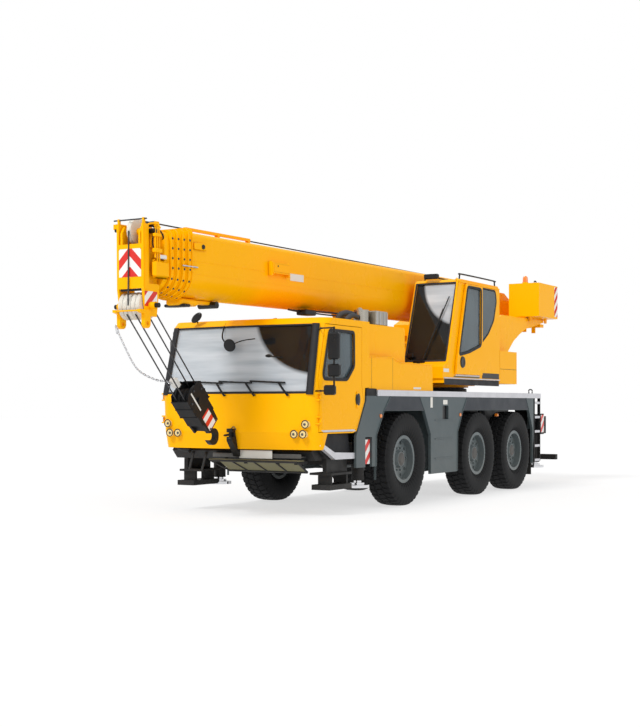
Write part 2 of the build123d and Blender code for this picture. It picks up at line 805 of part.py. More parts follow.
save("crane_cab_glass", *crane_glass())

save("crane_cab_seat", seat(-2650, 830, 1900 + crane_cab_wall + seat_gap)
     + block(-2350, -2000, 640, 1020, 1945 + seat_gap, 2000)
     + block(-2480, -2000, 790, 870, 1945 + seat_gap, 1990))


# ---------------------------------------------------------------------- boom
boom_place = Pos(pivot_x, 0, pivot_z) * Rot(0, boom_tilt, 0)


def section_face(grow, u):
    """Boom section: flat top with round corners and a half-round bottom."""
    half = boom_half + grow
    top = boom_top_w + grow
    corner = 70
    outline = make_face([
        Line((-half, boom_round_w), (-half, top - corner)),
        RadiusArc((-half, top - corner), (-half + corner, top), corner),
        Line((-half + corner, top), (half - corner, top)),
        RadiusArc((half - corner, top), (half, top - corner), corner),
        Line((half, top - corner), (half, boom_round_w)),
        ThreePointArc((half, boom_round_w), (0, boom_round_w - half), (-half, boom_round_w))])
    return Plane(origin=(u, 0, 0), x_dir=(0, 1, 0), z_dir=(1, 0, 0)) * outline


def section_body(grow, u0, u1):
    return extrude(section_face(grow, u0), u1 - u0)


def boom_tube(step, u0, u1):
    shrink = -step * section_step
    return section_body(shrink, u0, u1) - section_body(shrink - section_wall, u0, u1)


def base_section():
    """Outer boom section: heel lugs, box tube, front collar and rod bracket."""
    tube = boom_tube(0, boom_heel, boom_base_end)
    tube += section_body(0, boom_heel, boom_heel + 60)
    collar = section_body(collar_rim, boom_base_end - collar_length, boom_base_end)
    collar -= section_body(wear_gap - section_step, boom_base_end - collar_length, boom_base_end)
    tube += collar
    heel = Plane.XZ * make_face([
        Line((260, 150), (0, 150)),
        ThreePointArc((0, 150), (-150, 0), (0, -150)),
        Line((0, -150), (260, -260)),
        Line((260, -260), (260, 150))])
    for y in (230, -290):
        tube += slab(heel, y, y + 60)
    tube += rod_y(0, 0, 110, -290, 290)
    tube += rod_y(0, 0, pivot_pin_radius, -plate_outer, plate_outer)
    ears = [(rod_eye_u - 330, -300), (rod_eye_u - 90, rod_eye_w - 70),
            (rod_eye_u + 90, rod_eye_w - 70), (rod_eye_u + 330, -300)]
    core = section_body(-section_wall, boom_heel + 60, boom_base_end)
    for y in (100, -140):
        tube += side_slab(ears, y, y + 40) - core
    for y in (140, -165):
        tube += rod_y(rod_eye_u, rod_eye_w, 60, y, y + 25)
    # guard bar above the front half and a control box on the left wall
    tube += block(8180, 9640, 60, 110, boom_top_w + 50, boom_top_w + 85)
    for u in (8180, 8900, 9590):
        tube += block(u, u + 50, 60, 110, boom_top_w - 5, boom_top_w + 50)
    tube += block(7580, 8010, boom_half - 5, boom_half + 75, 80, 230)
    return tube


def tele_section(step):
    """An inner section with the collar that stays proud of the one outside it."""
    front = boom_base_end + step * (collar_length + 6)
    tube = boom_tube(step, 420 + 60 * step, front)
    grow = collar_rim - step * section_step * 0.55
    collar = section_body(grow, front - collar_length, front)
    if step < tele_count:
        inside = wear_gap - (step + 1) * section_step
    else:
        inside = -step * section_step - section_wall
    collar -= section_body(inside, front - collar_length, front)
    return tube + collar


save("boom_base", boom_place * base_section())
for step in range(1, tele_count + 1):
    save(f"boom_section_{step}", boom_place * tele_section(step))

head_start = boom_base_end + tele_count * (collar_length + 6)
top_sheave_u = head_end_u - 150
top_sheave_w = 400
low_sheave_u = head_end_u - 130
low_sheave_w = -490
ear_u = head_end_u - 62
ear_w = -705
ear_radius = 58


def boom_head():
    """Head: end plate, two cheeks, front plate, sheave pins and jib ears."""
    body = section_body(-tele_count * section_step, head_start + seat_gap, head_start + 40)
    end = head_end_u
    cheek_outline = Plane.XZ * make_face(Polyline(
        (end - frame_depth, 480), (end, 480), (end, -300), (end - 30, -480), (end - 60, -620),
        (end - 250, -620), (end - 300, -330), (end - 300, -230), (end - frame_depth, -230),
        close=True))
    core_outline = Plane.XZ * make_face(Polyline(
        (head_start + 20, -230), (head_start + 20, 330), (end - 240, 455), (end - 60, 455),
        (end - 10, 380), (end - 10, -230), close=True))
    ear_outline = Plane.XZ * make_face([
        Line((ear_u - ear_radius, -540), (ear_u - ear_radius, ear_w)),
        ThreePointArc((ear_u - ear_radius, ear_w), (ear_u, ear_w - ear_radius),
                      (ear_u + ear_radius, ear_w)),
        Line((ear_u + ear_radius, ear_w), (ear_u + ear_radius, -590)),
        Line((ear_u + ear_radius, -590), (ear_u + 140, -570)),
        Line((ear_u + 140, -570), (ear_u + 140, -540)),
        Line((ear_u + 140, -540), (ear_u - ear_radius, -540))])
    for y in (-head_half, head_half - cheek):
        body += slab(cheek_outline, y, y + cheek)
    for y in (-core_half, core_half - cheek):
        body += slab(core_outline, y, y + cheek)
    for y in (-head_half - 10, head_half - cheek - 10):
        body += slab(ear_outline, y, y + cheek + 20)
    body += block(end - 25, end, 10 - head_half, head_half - 10, -290, 240)
    body += block(end - 300, end - 10, 10 - head_half, head_half - 10, -285, -225)
    pin = sheave_bore - seat_gap
    body += rod_y(top_sheave_u, top_sheave_w, pin, -core_half - 10, core_half + 10)
    body += rod_y(low_sheave_u, low_sheave_w, pin, -head_half - 80, head_half + 80)
    body += rod_y(ear_u + 120, -555, 10, -head_half, head_half)
    body -= rod_y(ear_u, ear_w, jib_pin_radius, -head_half - 50, head_half + 50)
    return body


save("boom_head", boom_place * boom_head())


def sheave(radius):
    """A grooved rope sheave about the y axis, with a bored hub."""
    half = sheave_width / 2
    return revolve(make_face(Polyline(
        (sheave_bore, -half), (radius, -half), (radius - groove, 0), (radius, half),
        (sheave_bore, half), close=True)), Axis.Y)


sheaves = [Pos(top_sheave_u, -15, top_sheave_w) * sheave(sheave_radius - 10)]
for k in range(5):
    place = Pos(low_sheave_u, (k - 2) * sheave_pitch, low_sheave_w)
    sheaves.append(place * sheave(sheave_radius))
save("head_sheaves", *[boom_place * one for one in sheaves])


hook_x = 3640
hook_z = 1530
hook_tilt = 45             # the lashing draws the block back towards the cab


def forged_hook(z):
    """A lifting hook below its nut, about the origin's vertical."""
    bowl = Plane.XZ * make_face([
        Line((-34, z), (-34, z - 60)),
        ThreePointArc((-34, z - 60), (-112, z - 130), (-85, z - 225)),
        ThreePointArc((-85, z - 225), (20, z - 262), (112, z - 165)),
        Line((112, z - 165), (118, z - 100)),
        Line((118, z - 100), (70, z - 150)),
        ThreePointArc((70, z - 150), (0, z - 190), (-50, z - 135)),
        ThreePointArc((-50, z - 135), (0, z - 85), (34, z - 60)),
        Line((34, z - 60), (34, z)),
        Line((34, z), (-34, z))])
    return slab(bowl, -30, 30) + rod_z(0, 0, 55, z - 10, z + 40)


def hook_block():
    """Hook block: two side plates, three sheaves, cross piece and a forged hook."""
    outline = Plane.XZ * make_face([
        Line((-130, -460), (-180, 60)),
        ThreePointArc((-180, 60), (0, 215), (180, 60)),
        Line((180, 60), (130, -460)),
        Line((130, -460), (-130, -460))])
    body = slab(outline, 95, 125) + slab(outline, -125, -95)
    body += rod_y(0, 0, sheave_bore, -150, 150)
    for y in (-sheave_pitch, 0, sheave_pitch):
        body += Pos(0, y, 0) * sheave(sheave_radius)
    body += block(-90, 90, -125, 125, -460, -310)
    return body + forged_hook(-500)


hook_place = Pos(hook_x, 0, hook_z) * Rot(0, hook_tilt, 0)
save("hook_block", hook_place * hook_block())

# four taut hoist ropes from the head's lower sheaves to the hook block's
low_sheave = boom_place * Pos(low_sheave_u, 0, low_sheave_w)
head_point = Vector(low_sheave.position.X, 0, low_sheave.position.Z)
hook_point = Vector(hook_x, 0, hook_z)
pull = (head_point - hook_point).normalized()
flank = atan2(groove, sheave_width / 2)
rope_line = sheave_radius - groove + rope_radius / cos(flank) + seat_gap
rise = Vector(-pull.Z, 0, pull.X) * rope_line
ropes = []
for y in (-sheave_pitch, sheave_pitch):
    for way in (1, -1):
        shift = rise * way + Vector(0, y, 0)
        ropes.append(bar(tuple(hook_point + shift), tuple(head_point + shift), rope_radius))
save("hoist_ropes", *ropes)

# ------------------------------------------------------------ luffing cylinder
cos_t, sin_t = cos(radians(boom_tilt)), sin(radians(boom_tilt))
eye_x = pivot_x + rod_eye_u * cos_t + rod_eye_w * sin_t
eye_z = pivot_z - rod_eye_u * sin_t + rod_eye_w * cos_t
luff_length = sqrt((eye_x - foot_x) ** 2 + (eye_z - foot_z) ** 2)
luff_angle = degrees(atan2(eye_z - foot_z, eye_x - foot_x))
luff_place = Pos(foot_x, 0, foot_z) * Rot(0, -luff_angle, 0)
barrel_end = luff_length - 330
barrel = rod_x(0, 0, luff_barrel_radius, 130, barrel_end)
barrel += rod_y(0, 0, 135, -110, 110) + block(0, 140, -90, 90, -110, 110)
barrel += rod_y(0, 0, foot_pin_radius, -plate_outer, plate_outer)
barrel -= rod_x(0, 0, luff_rod_radius + seat_gap, 200, barrel_end + 1)
luff_rod = rod_x(0, 0, luff_rod_radius, 230, luff_length - 80)
luff_rod += rod_y(luff_length, 0, 85, -92, 92)
luff_rod += rod_y(luff_length, 0, 38, -95, 95)
save("luff_barrel", luff_place * barrel)
save("luff_rod", luff_place * luff_rod)
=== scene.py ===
from math import cos, pi, radians, sin
import bmesh
import bpy
import numpy as np
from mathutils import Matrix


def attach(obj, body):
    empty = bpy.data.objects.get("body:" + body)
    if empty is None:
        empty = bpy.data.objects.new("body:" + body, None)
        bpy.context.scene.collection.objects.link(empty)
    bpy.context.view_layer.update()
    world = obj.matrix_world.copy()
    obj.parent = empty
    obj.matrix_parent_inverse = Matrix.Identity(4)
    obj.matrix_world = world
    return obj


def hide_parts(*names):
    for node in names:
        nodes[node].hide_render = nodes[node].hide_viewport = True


# Three-axle mobile crane in road order. Metres, +X forward, +Y left, +Z up.
# Pieces are laid out from the ground under axle 1 and moved by "ahead".
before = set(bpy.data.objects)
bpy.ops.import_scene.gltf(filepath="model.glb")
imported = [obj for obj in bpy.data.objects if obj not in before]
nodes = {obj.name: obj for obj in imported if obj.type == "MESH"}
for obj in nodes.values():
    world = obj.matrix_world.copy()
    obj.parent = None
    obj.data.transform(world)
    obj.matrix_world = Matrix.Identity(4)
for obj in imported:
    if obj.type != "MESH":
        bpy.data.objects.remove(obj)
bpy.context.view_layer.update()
ahead = 0.797
boom = {"pivotX": -5.75, "pivotZ": 3.28, "tilt": radians(0.7)}
axles = (0.0, -2.7, -4.35)
sides = {"left": 1, "right": -1}
print("frame loaded:", len(nodes), "nodes")


# Small tools
def linear(code):
    # an sRGB hex code as a linear colour
    parts = [int(code[i:i + 2], 16) / 255 for i in (1, 3, 5)]
    return [p / 12.92 if p <= 0.04045 else ((p + 0.055) / 1.055) ** 2.4 for p in parts] + [1.0]


def add(tree, kind, inputs=None, **settings):
    # a shader node with its settings, values and links; a hex code becomes a colour
    node = tree.nodes.new(kind)
    for name, value in settings.items():
        setattr(node, name, value)
    for socket, value in (inputs or {}).items():
        if isinstance(value, bpy.types.NodeSocket):
            tree.links.new(value, node.inputs[socket])
        else:
            node.inputs[socket].default_value = linear(value) if isinstance(value, str) else value
    return node


def maths(tree, operation, first, second=0.5):
    return add(tree, "ShaderNodeMath", {0: first, 1: second}, operation=operation).outputs[0]


def split(tree, place):
    return add(tree, "ShaderNodeSeparateXYZ", {0: place}).outputs


def noise(tree, place, size, detail, rough=0.5):
    # a cloud pattern whose patches are "size" mm across
    node = add(tree, "ShaderNodeTexNoise", {
        "Vector": place, "Scale": 1000 / size, "Detail": detail, "Roughness": rough})
    return node.outputs["Fac"]


def mapped(tree, value, source, target):
    return add(tree, "ShaderNodeMapRange", {
        "Value": value, "From Min": source[0], "From Max": source[1],
        "To Min": target[0], "To Max": target[1]}).outputs[0]


def mixed(tree, share, first, second):
    return add(tree, "ShaderNodeMix", {0: share, 6: first, 7: second},
               data_type="RGBA").outputs[2]


def striped(tree, turns, first, second):
    # the first colour in one half of each turn and the second in the other
    return mixed(tree, maths(tree, "GREATER_THAN", maths(tree, "FRACT", turns), 0.5),
                 first, second)


def bumped(tree, height, distance, strength=1.0):
    return add(tree, "ShaderNodeBump", {
        "Height": height, "Strength": strength, "Distance": distance}).outputs[0]


def shaded(tree, colour, rough, more=None):
    return add(tree, "ShaderNodeBsdfPrincipled", {
        "Base Color": colour, "Roughness": rough, **(more or {})}).outputs[0]


def between(tree, share, first, second):
    return add(tree, "ShaderNodeMixShader", {0: share, 1: first, 2: second}).outputs[0]


def surface(tree, shader):
    add(tree, "ShaderNodeOutputMaterial", {"Surface": shader})


materials, slotOf = {}, {}


def newMaterial(name, slot):
    material = bpy.data.materials.new(name)
    material.use_nodes = True
    tree = material.node_tree
    tree.nodes.clear()
    materials[name], slotOf[name] = material, slot
    return tree, add(tree, "ShaderNodeTexCoord").outputs["Object"]


def finish(name, slot, colour, second, blotch, rough, grain, relief, more=None):
    # one colour drifting towards a second over "blotch" mm, a grain of "grain" mm raised by
    # "relief" mm, a roughness that drifts with the blotches and road dust that thins upwards
    more = more or {}
    tree, place = newMaterial(name, slot)
    drift = noise(tree, place, blotch, 5.0, 0.6)
    colour = mixed(tree, drift, colour, second)
    if "dust" in more:
        low = mapped(tree, split(tree, place)["Z"], (0.2, 1.5), (more["dust"], 0.0))
        amount = maths(tree, "MULTIPLY", low, noise(tree, place, 55, 8.0, 0.7))
        colour = mixed(tree, amount, colour, "#a79f90")
    bump = bumped(tree, noise(tree, place, grain, 3.0), relief / 1000)
    surface(tree, shaded(tree, colour, mapped(tree, drift, (0.35, 0.65), rough), {
        "Normal": bump, "Metallic": more.get("metallic", 0.0), "IOR": 1.5,
        "Coat Weight": more.get("coat", 0.0), "Coat Roughness": 0.06,
        "Specular IOR Level": more.get("spec", 0.5)}))


def closedRing(count):
    angle = np.arange(count) * 2 * pi / count
    return np.stack([np.cos(angle), np.sin(angle)], -1)


def carried(profile, path, up=(0, 0, 1), sizes=None):
    # each point of the flat profile is set across the path's direction at each of its points
    path = np.asarray(path, float)
    run = np.gradient(path, axis=0)
    run /= np.linalg.norm(run, axis=1, keepdims=True)
    side = np.cross(np.broadcast_to(up, run.shape), run)
    side /= np.linalg.norm(side, axis=1, keepdims=True)
    top = np.cross(run, side)
    scale = np.ones(len(path)) if sizes is None else np.asarray(sizes, float)
    across = profile[None, :, 0:1] * side[:, None] + profile[None, :, 1:2] * top[:, None]
    return path[:, None] + across * scale[:, None, None]


def smoothed(points, steps=6):
    # a Catmull-Rom curve through the points: cubic blends of each four in a row
    p = np.asarray(points, float)
    p = np.vstack([2 * p[0] - p[1], p, 2 * p[-1] - p[-2]])
    t = np.linspace(0, 1, steps, endpoint=False)[None, :, None]
    a, b, c, d = (p[i:len(p) - 3 + i, None] for i in range(4))
    curve = 0.5 * (2 * b + (c - a) * t + (2 * a - 5 * b + 4 * c - d) * t ** 2
                   + (3 * b - a - 3 * c + d) * t ** 3)
    return np.vstack([curve.reshape(-1, 3), p[-2]])


def pipe(points, radius, ring=12, up=(0, 0, 1)):
    path = np.asarray(points, float)
    run = path[-1] - path[0]
    if abs(run[2]) > 0.9 * np.linalg.norm(run):
        up = (0, 1, 0)
    return carried(closedRing(ring) * radius, path, up)


def hose(points, radius, ring=8, up=(0, 0, 1)):
    return pipe(smoothed(points), radius, ring, up)


def turned(profile, centre, axis, ring=32):
    # profile of (distance along the axis, radius) turned round that axis through the centre
    axis = np.asarray(axis, float) / np.linalg.norm(axis)
    first = np.cross(axis, (0, 0, 1.0) if abs(axis[2]) < 0.9 else (0, 1.0, 0))
    first /= np.linalg.norm(first)
    second = np.cross(axis, first)
    circle = closedRing(ring)
    around = circle[:, :1] * first + circle[:, 1:] * second
    along, radius = np.asarray(profile, float).T
    return np.asarray(centre) + along[:, None, None] * axis + radius[:, None, None] * around


def block(low, high, edge=0.004):
    # a rectangle with cut corners carried up in four rings, the end rings drawn in by the edge
    low, high = np.minimum(low, high), np.maximum(low, high)
    edge = min(edge, 0.45 * float(np.min(high - low)))
    x0, y0, z0 = low
    x1, y1, z1 = high
    rings = []
    for z, inset in ((z0, edge), (z0 + edge, 0), (z1 - edge, 0), (z1, edge)):
        a, b, c, d, e = x0 + inset, x1 - inset, y0 + inset, y1 - inset, edge
        rings.append([(a + e, c, z), (b - e, c, z), (b, c + e, z), (b, d - e, z),
                      (b - e, d, z), (a + e, d, z), (a, d - e, z), (a, c + e, z)])
    return np.array(rings)


def plate(outline, axis, low, high, edge=0.0015):
    # an outline in the plane across the axis, drawn out from low to high with a fine chamfer
    flat = np.asarray(outline, float)
    centre = flat.mean(0)
    reach = np.abs(flat - centre).max()
    shrink = centre + (flat - centre) * (1 - edge / reach)
    rings = []
    for place, ring in ((low, shrink), (low + edge, flat), (high - edge, flat), (high, shrink)):
        point = np.empty((len(flat), 3))
        rest = [k for k in range(3) if k != axis]
        point[:, rest] = ring
        point[:, axis] = place
        rings.append(point)
    return np.array(rings)


def onBoom(points):
    # (distance along the boom, across, height over its axis) turned by the boom's tilt
    p = np.asarray(points, float)
    u, y, w = p[..., 0], p[..., 1], p[..., 2]
    c, s = cos(boom["tilt"]), sin(boom["tilt"])
    return np.stack([boom["pivotX"] + u * c + w * s, y, boom["pivotZ"] - u * s + w * c], -1)


def mirrored(shape):
    return shape * np.array([1.0, -1.0, 1.0])


def quads(rows, cols, closedRows):
    r = np.arange(rows if closedRows else rows - 1)[:, None]
    c = np.arange(cols)[None, :]
    nextRow, nextCol = (r + 1) % rows, (c + 1) % cols
    corners = (r * cols + c, r * cols + nextCol, nextRow * cols + nextCol, nextRow * cols + c)
    return np.stack(np.broadcast_arrays(*corners), -1).reshape(-1, 4)


def make(name, body, look, shapes, smooth=40, closedRows=False):
    # joins closed shapes into one piece: tubes of rings with flat ends, or rings of rings
    points, faces, start = [], [], 0
    for shape in shapes:
        rows, cols = shape.shape[:2]
        points.append(shape.reshape(-1, 3))
        faces += (quads(rows, cols, closedRows) + start).tolist()
        if not closedRows:
            faces += [list(range(start, start + cols))[::-1]]
            faces += [list(range(start + (rows - 1) * cols, start + rows * cols))]
        start += rows * cols
    mesh = bpy.data.meshes.new(name)
    placed = np.vstack(points) + (ahead, 0, 0)
    mesh.from_pydata(placed.tolist(), [], faces)
    work = bmesh.new()
    work.from_mesh(mesh)
    bmesh.ops.recalc_face_normals(work, faces=work.faces)
    work.to_mesh(mesh)
    work.free()
    mesh.shade_smooth()
    mesh.set_sharp_from_angle(angle=radians(smooth))
    piece = bpy.data.objects.new(name, mesh)
    bpy.context.scene.collection.objects.link(piece)
    material = materials[look]
    mesh.materials.append(material)
    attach(piece, body)
    return piece


# Materials. Each row: slot, colour, second colour, blotch in mm, range of roughness, grain in
# mm, relief in mm, and what departs from the rest.
looks = {
    # two-pack enamel sprayed over steel: an even, bright, wet-looking skin with faint orange peel
    "yellowEnamel": ("yellow_paint", "#ffb704", "#fcb100", 900, (0.22, 0.34), 7, 0.04,
                     {"spec": 0.08}),
    # slate enamel on the side panels: satin, greyer where dust has dried on it
    "slateEnamel": ("slate_paint", "#485357", "#4f5b5e", 500, (0.38, 0.52), 6, 0.05,
                    {"spec": 0.35, "dust": 0.15}),
    # the darker grey enamel inside the wheel arch panels
    "archGrey": ("slate_paint", "#2b3038", "#31363d", 400, (0.4, 0.55), 6, 0.05,
                 {"spec": 0.3, "dust": 0.1}),
    # white film on blank plates and labels
    "plateWhite": ("lamp_glass", "#e4e2dc", "#d9d7d0", 120, (0.35, 0.5), 5, 0.01, {"spec": 0.3}),
    # olive-grey grip paint on the step
    "oliveTread": ("black_paint", "#5f5d3c", "#6e6b48", 70, (0.6, 0.8), 9, 0.9, {"dust": 0.3}),
    # chassis black, sprayed thick over weld and casting: satin with road film
    "chassisBlack": ("black_paint", "#0f1012", "#15161a", 300, (0.4, 0.6), 5, 0.1,
                     {"spec": 0.25, "dust": 0.1}),
    # cast steel under thin grey primer: dull, pebbled by the sand mould
    "castSteel": ("cast_steel", "#303236", "#3d4044", 140, (0.55, 0.75), 4, 0.3, {"dust": 0.5}),
    # grey wheel enamel: satin, with brake dust in patches
    "wheelEnamel": ("rim_paint", "#5d696d", "#525d61", 160, (0.35, 0.5), 4, 0.06, {"dust": 0.3}),
    # bare aluminium tread sheet: bright, scuffed by boots
    "treadAluminium": ("deck_aluminium", "#d9d9de", "#c6c7cc", 120, (0.35, 0.55), 3, 0.12,
                       {"metallic": 0.4}),
    # rolled stainless sheet, brushed, tanned a little by heat
    "stainlessSheet": ("exhaust_steel", "#c3bfb6", "#aaa498", 200, (0.22, 0.4), 2, 0.05,
                       {"metallic": 1.0}),
    # hard chrome on a piston rod
    "hardChrome": ("bright_rod", "#dcdde0", "#d2d3d6", 400, (0.1, 0.18), 2, 0.01,
                   {"metallic": 1.0}),
    # moulded ABS, grained, near black
    "grainedPlastic": ("cab_trim", "#1b1c1f", "#212226", 200, (0.5, 0.65), 1.6, 0.12,
                       {"spec": 0.3}),
    # smooth black plastic on mirrors and lamp housings
    "smoothPlastic": ("mirror_black", "#0e0f10", "#131416", 300, (0.25, 0.35), 3, 0.02,
                      {"spec": 0.35}),
    # woven seat cloth, drawn at 3 mm
    "seatCloth": ("seat_cloth", "#26282c", "#33363b", 60, (0.8, 0.95), 3, 0.6),
    # clear polycarbonate lamp lens over a bright reflector
    "lampLens": ("lamp_glass", "#d9b45c", "#efe0ae", 25, (0.1, 0.2), 8, 0.3, {"coat": 0.2}),
    # amber and red acrylic lenses
    "amberLens": ("lamp_glass", "#e8780a", "#f08a14", 40, (0.08, 0.15), 6, 0.1, {"coat": 1.0}),
    "redLens": ("lamp_glass", "#b3140f", "#c41b14", 40, (0.08, 0.15), 6, 0.1, {"coat": 1.0}),
    # cast nylon rope sheaves: off-white, greased in the grooves
    "castNylon": ("sheave_nylon", "#e6e2d8", "#d2ccbf", 90, (0.35, 0.5), 2, 0.05),
}
for name, row in looks.items():
    finish(name, *row)
print("plain materials:", len(materials))


def tyreRubber():
    # vulcanised rubber, matt and nearly black, with pale dust in the tread and on the wall
    tree, place = newMaterial("tyreRubber", "tyre")
    colour = mixed(tree, noise(tree, place, 35, 8.0, 0.7), "#0b0c0d", "#17181a")
    surface(tree, shaded(tree, colour, 0.72, {
        "Specular IOR Level": 0.3, "Normal": bumped(tree, noise(tree, place, 4, 2.0), 0.0004)}))


def hazardFilm(name, across, pitch, folded=False):
    # reflective film in red and white bands "pitch" apart, square to "across"; folded ones
    # meet in a point on the centre line
    tree, place = newMaterial(name, "lamp_glass")
    if folded:
        axes = split(tree, place)
        place = add(tree, "ShaderNodeCombineXYZ", {
            "X": axes["X"], "Y": maths(tree, "ABSOLUTE", axes["Y"]), "Z": axes["Z"]}).outputs[0]
    along = add(tree, "ShaderNodeVectorMath", {0: place, 1: across}, operation="DOT_PRODUCT")
    turns = maths(tree, "MULTIPLY", along.outputs["Value"], 1 / pitch)
    cells = add(tree, "ShaderNodeTexVoronoi", {"Vector": place, "Scale": 1000 / 6})
    surface(tree, shaded(tree, striped(tree, turns, "#e9e6e2", "#d4261c"), 0.35, {
        "Normal": bumped(tree, cells.outputs["Distance"], 0.0002, 0.4)}))


def wireRope():
    # drawn steel strands laid in a helix, greased: slanting ridges
    tree, place = newMaterial("wireRope", "rope_steel")
    lay = add(tree, "ShaderNodeTexWave", {
        "Vector": place, "Scale": 1000 / 12 / 20, "Distortion": 0.0},
        wave_type="BANDS", bands_direction="DIAGONAL")
    surface(tree, shaded(tree, "#4c4c4d", 0.5, {
        "Metallic": 0.8, "Normal": bumped(tree, lay.outputs["Fac"], 0.002)}))


def skyGlass(name, centre, radii, paintedSkyInside):
    # toughened glass with a painted sky reflection, a glossy streaked pale grey-blue colour, on
    # one side of a curve, letting the dark cab through on the other: the curve is an ellipse in
    # the y-z plane, softened at its edge
    tree, place = newMaterial(name, "cab_glass")
    axes = split(tree, place)
    squares = []
    for axis, middle, radius in zip("YZ", centre, radii):
        part = maths(tree, "DIVIDE", maths(tree, "SUBTRACT", axes[axis], middle), radius)
        squares.append(maths(tree, "POWER", part, 2.0))
    # the painted sky reflection covers the inside of the ellipse when the flag is set, else the
    # outside
    shares = (0.88, 0.02) if paintedSkyInside else (0.02, 0.88)
    paintedSkyShare = mapped(tree, maths(tree, "ADD", *squares), (0.94, 1.06), shares)
    stretch = add(tree, "ShaderNodeVectorMath", {0: place, 1: (1.0, 0.6, 7.0)},
                  operation="MULTIPLY").outputs[0]
    # the painted sky reflection: pale grey-blue streaks set as the glass's own colour
    paintedSky = mixed(tree, noise(tree, stretch, 625, 3.0), "#8f9aa4", "#dfe5ea")
    clear = shaded(tree, "#4a443a", 0.01, {"IOR": 1.35, "Transmission Weight": 1.0})
    surface(tree, between(tree, paintedSkyShare, clear, shaded(tree, paintedSky, 0.12, {"IOR": 1.5})))


def doorGlass():
    # side glass, tinted grey-blue, with a painted sky reflection over it: a soft veil of glossy
    # grey-blue colour
    tree, place = newMaterial("doorGlass", "cab_glass")
    # share of the painted sky reflection, drifting between 0.3 and 0.5
    share = mapped(tree, noise(tree, place, 700, 2.0), (0.3, 0.7), (0.3, 0.5))
    clear = shaded(tree, "#66737a", 0.01, {"IOR": 1.4, "Transmission Weight": 1.0})
    surface(tree, between(tree, share, clear, shaded(tree, "#6f8088", 0.1, {"IOR": 1.5})))


def doorAndMirror():
    # the right door carries its swung-back mirrors, which are black plastic
    tree, place = newMaterial("doorAndMirror", "yellow_paint")
    outside = maths(tree, "LESS_THAN", split(tree, place)["Y"], -1.262)
    shades = [shaded(tree, colour, rough, {"Specular IOR Level": 0.1})
              for colour, rough in (("#feb502", 0.28), ("#0e0f10", 0.3))]
    surface(tree, between(tree, outside, *shades))


def tailPaint():
    # yellow enamel with red and white slanted stripes on both rear corners of the counterweight
    tree, place = newMaterial("tailPaint", "yellow_paint")
    axes = split(tree, place)
    side = maths(tree, "ABSOLUTE", axes["Y"])
    slant = maths(tree, "ADD", maths(tree, "ADD", axes["X"], side), axes["Z"])
    film = striped(tree, maths(tree, "DIVIDE", slant, 0.2), "#e8e6e0", "#cf1f1a")
    share = maths(tree, "LESS_THAN", axes["X"], ahead - 6.30)
    for test, value, edge in (("GREATER_THAN", side, 0.88), ("GREATER_THAN", axes["Z"], 3.15),
                              ("LESS_THAN", axes["Z"], 3.715)):
        share = maths(tree, "MULTIPLY", share, maths(tree, test, value, edge))
    surface(tree, shaded(tree, mixed(tree, share, "#feb502", film), 0.3, {
        "Specular IOR Level": 0.08}))


slanted, upright = (0.7071, 0, 0.7071), (0, 0.7071, 0.7071)
# the cab screen carries the painted sky reflection outside its ellipse, the crane cab screen
# inside it
skyGlass("screenGlass", (1.3, 2.75), (1.08, 0.88), False)
skyGlass("craneScreenGlass", (1.35, 3.55), (0.75, 0.8), True)
doorGlass()
doorAndMirror()
tailPaint()
tyreRubber()
wireRope()
hazardFilm("hazardSide", slanted, 0.14)
hazardFilm("hazardChevron", upright, 0.17, folded=True)

nodeFinish = {
    "yellowEnamel": ["engine_hood", "cab_shell", "cab_door_left", "turntable", "crane_cab_shell",
                     "crane_cab_door", "boom_base", "boom_head", "luff_barrel"]
    + [f"boom_section_{n}" for n in (1, 2, 3, 4)],
    "doorAndMirror": ["cab_door_right"],
    "tailPaint": ["counterweight"],
    "slateEnamel": ["side_panels"],
    "chassisBlack": ["chassis_frame", "rear_fittings", "hoist_winch", "hook_block",
                     "front_bumper"]
    + [f"outrigger_beam_{end}_{side}" for end in ("front", "rear") for side in sides],
    "castSteel": ["axle_beams", "engine_block"]
    + [f"knuckle_{n}_{side}" for n in (1, 2, 3) for side in sides],
    "wheelEnamel": [f"rim_{n}_{side}" for n in (1, 2, 3) for side in sides],
    "tyreRubber": [f"tyre_{n}_{side}" for n in (1, 2, 3) for side in sides],
    "treadAluminium": ["deck_plates"],
    "stainlessSheet": ["exhaust"],
    "hardChrome": ["luff_rod"]
    + [f"outrigger_jack_{end}_{side}" for end in ("front", "rear") for side in sides],
    "grainedPlastic": ["cab_interior"],
    "smoothPlastic": ["cab_mirrors"],
    "seatCloth": ["crane_cab_seat"],
    "lampLens": ["headlamps"],
    "castNylon": ["head_sheaves"],
    "wireRope": ["hoist_ropes"],
    "screenGlass": ["cab_glass"],
    "craneScreenGlass": ["crane_cab_glass"],
}
for look, names in nodeFinish.items():
    for name in names:
        for slot in nodes[name].material_slots:
            slot.material = materials[look]


print("node finishes set")


# Tyres: a revolved section whose crown is cut by a block tread
tyre = {"radius": 0.685, "treadHalf": 0.165, "depth": 0.014,
        "blocks": 42, "ring": 420, "middleY": 1.075}


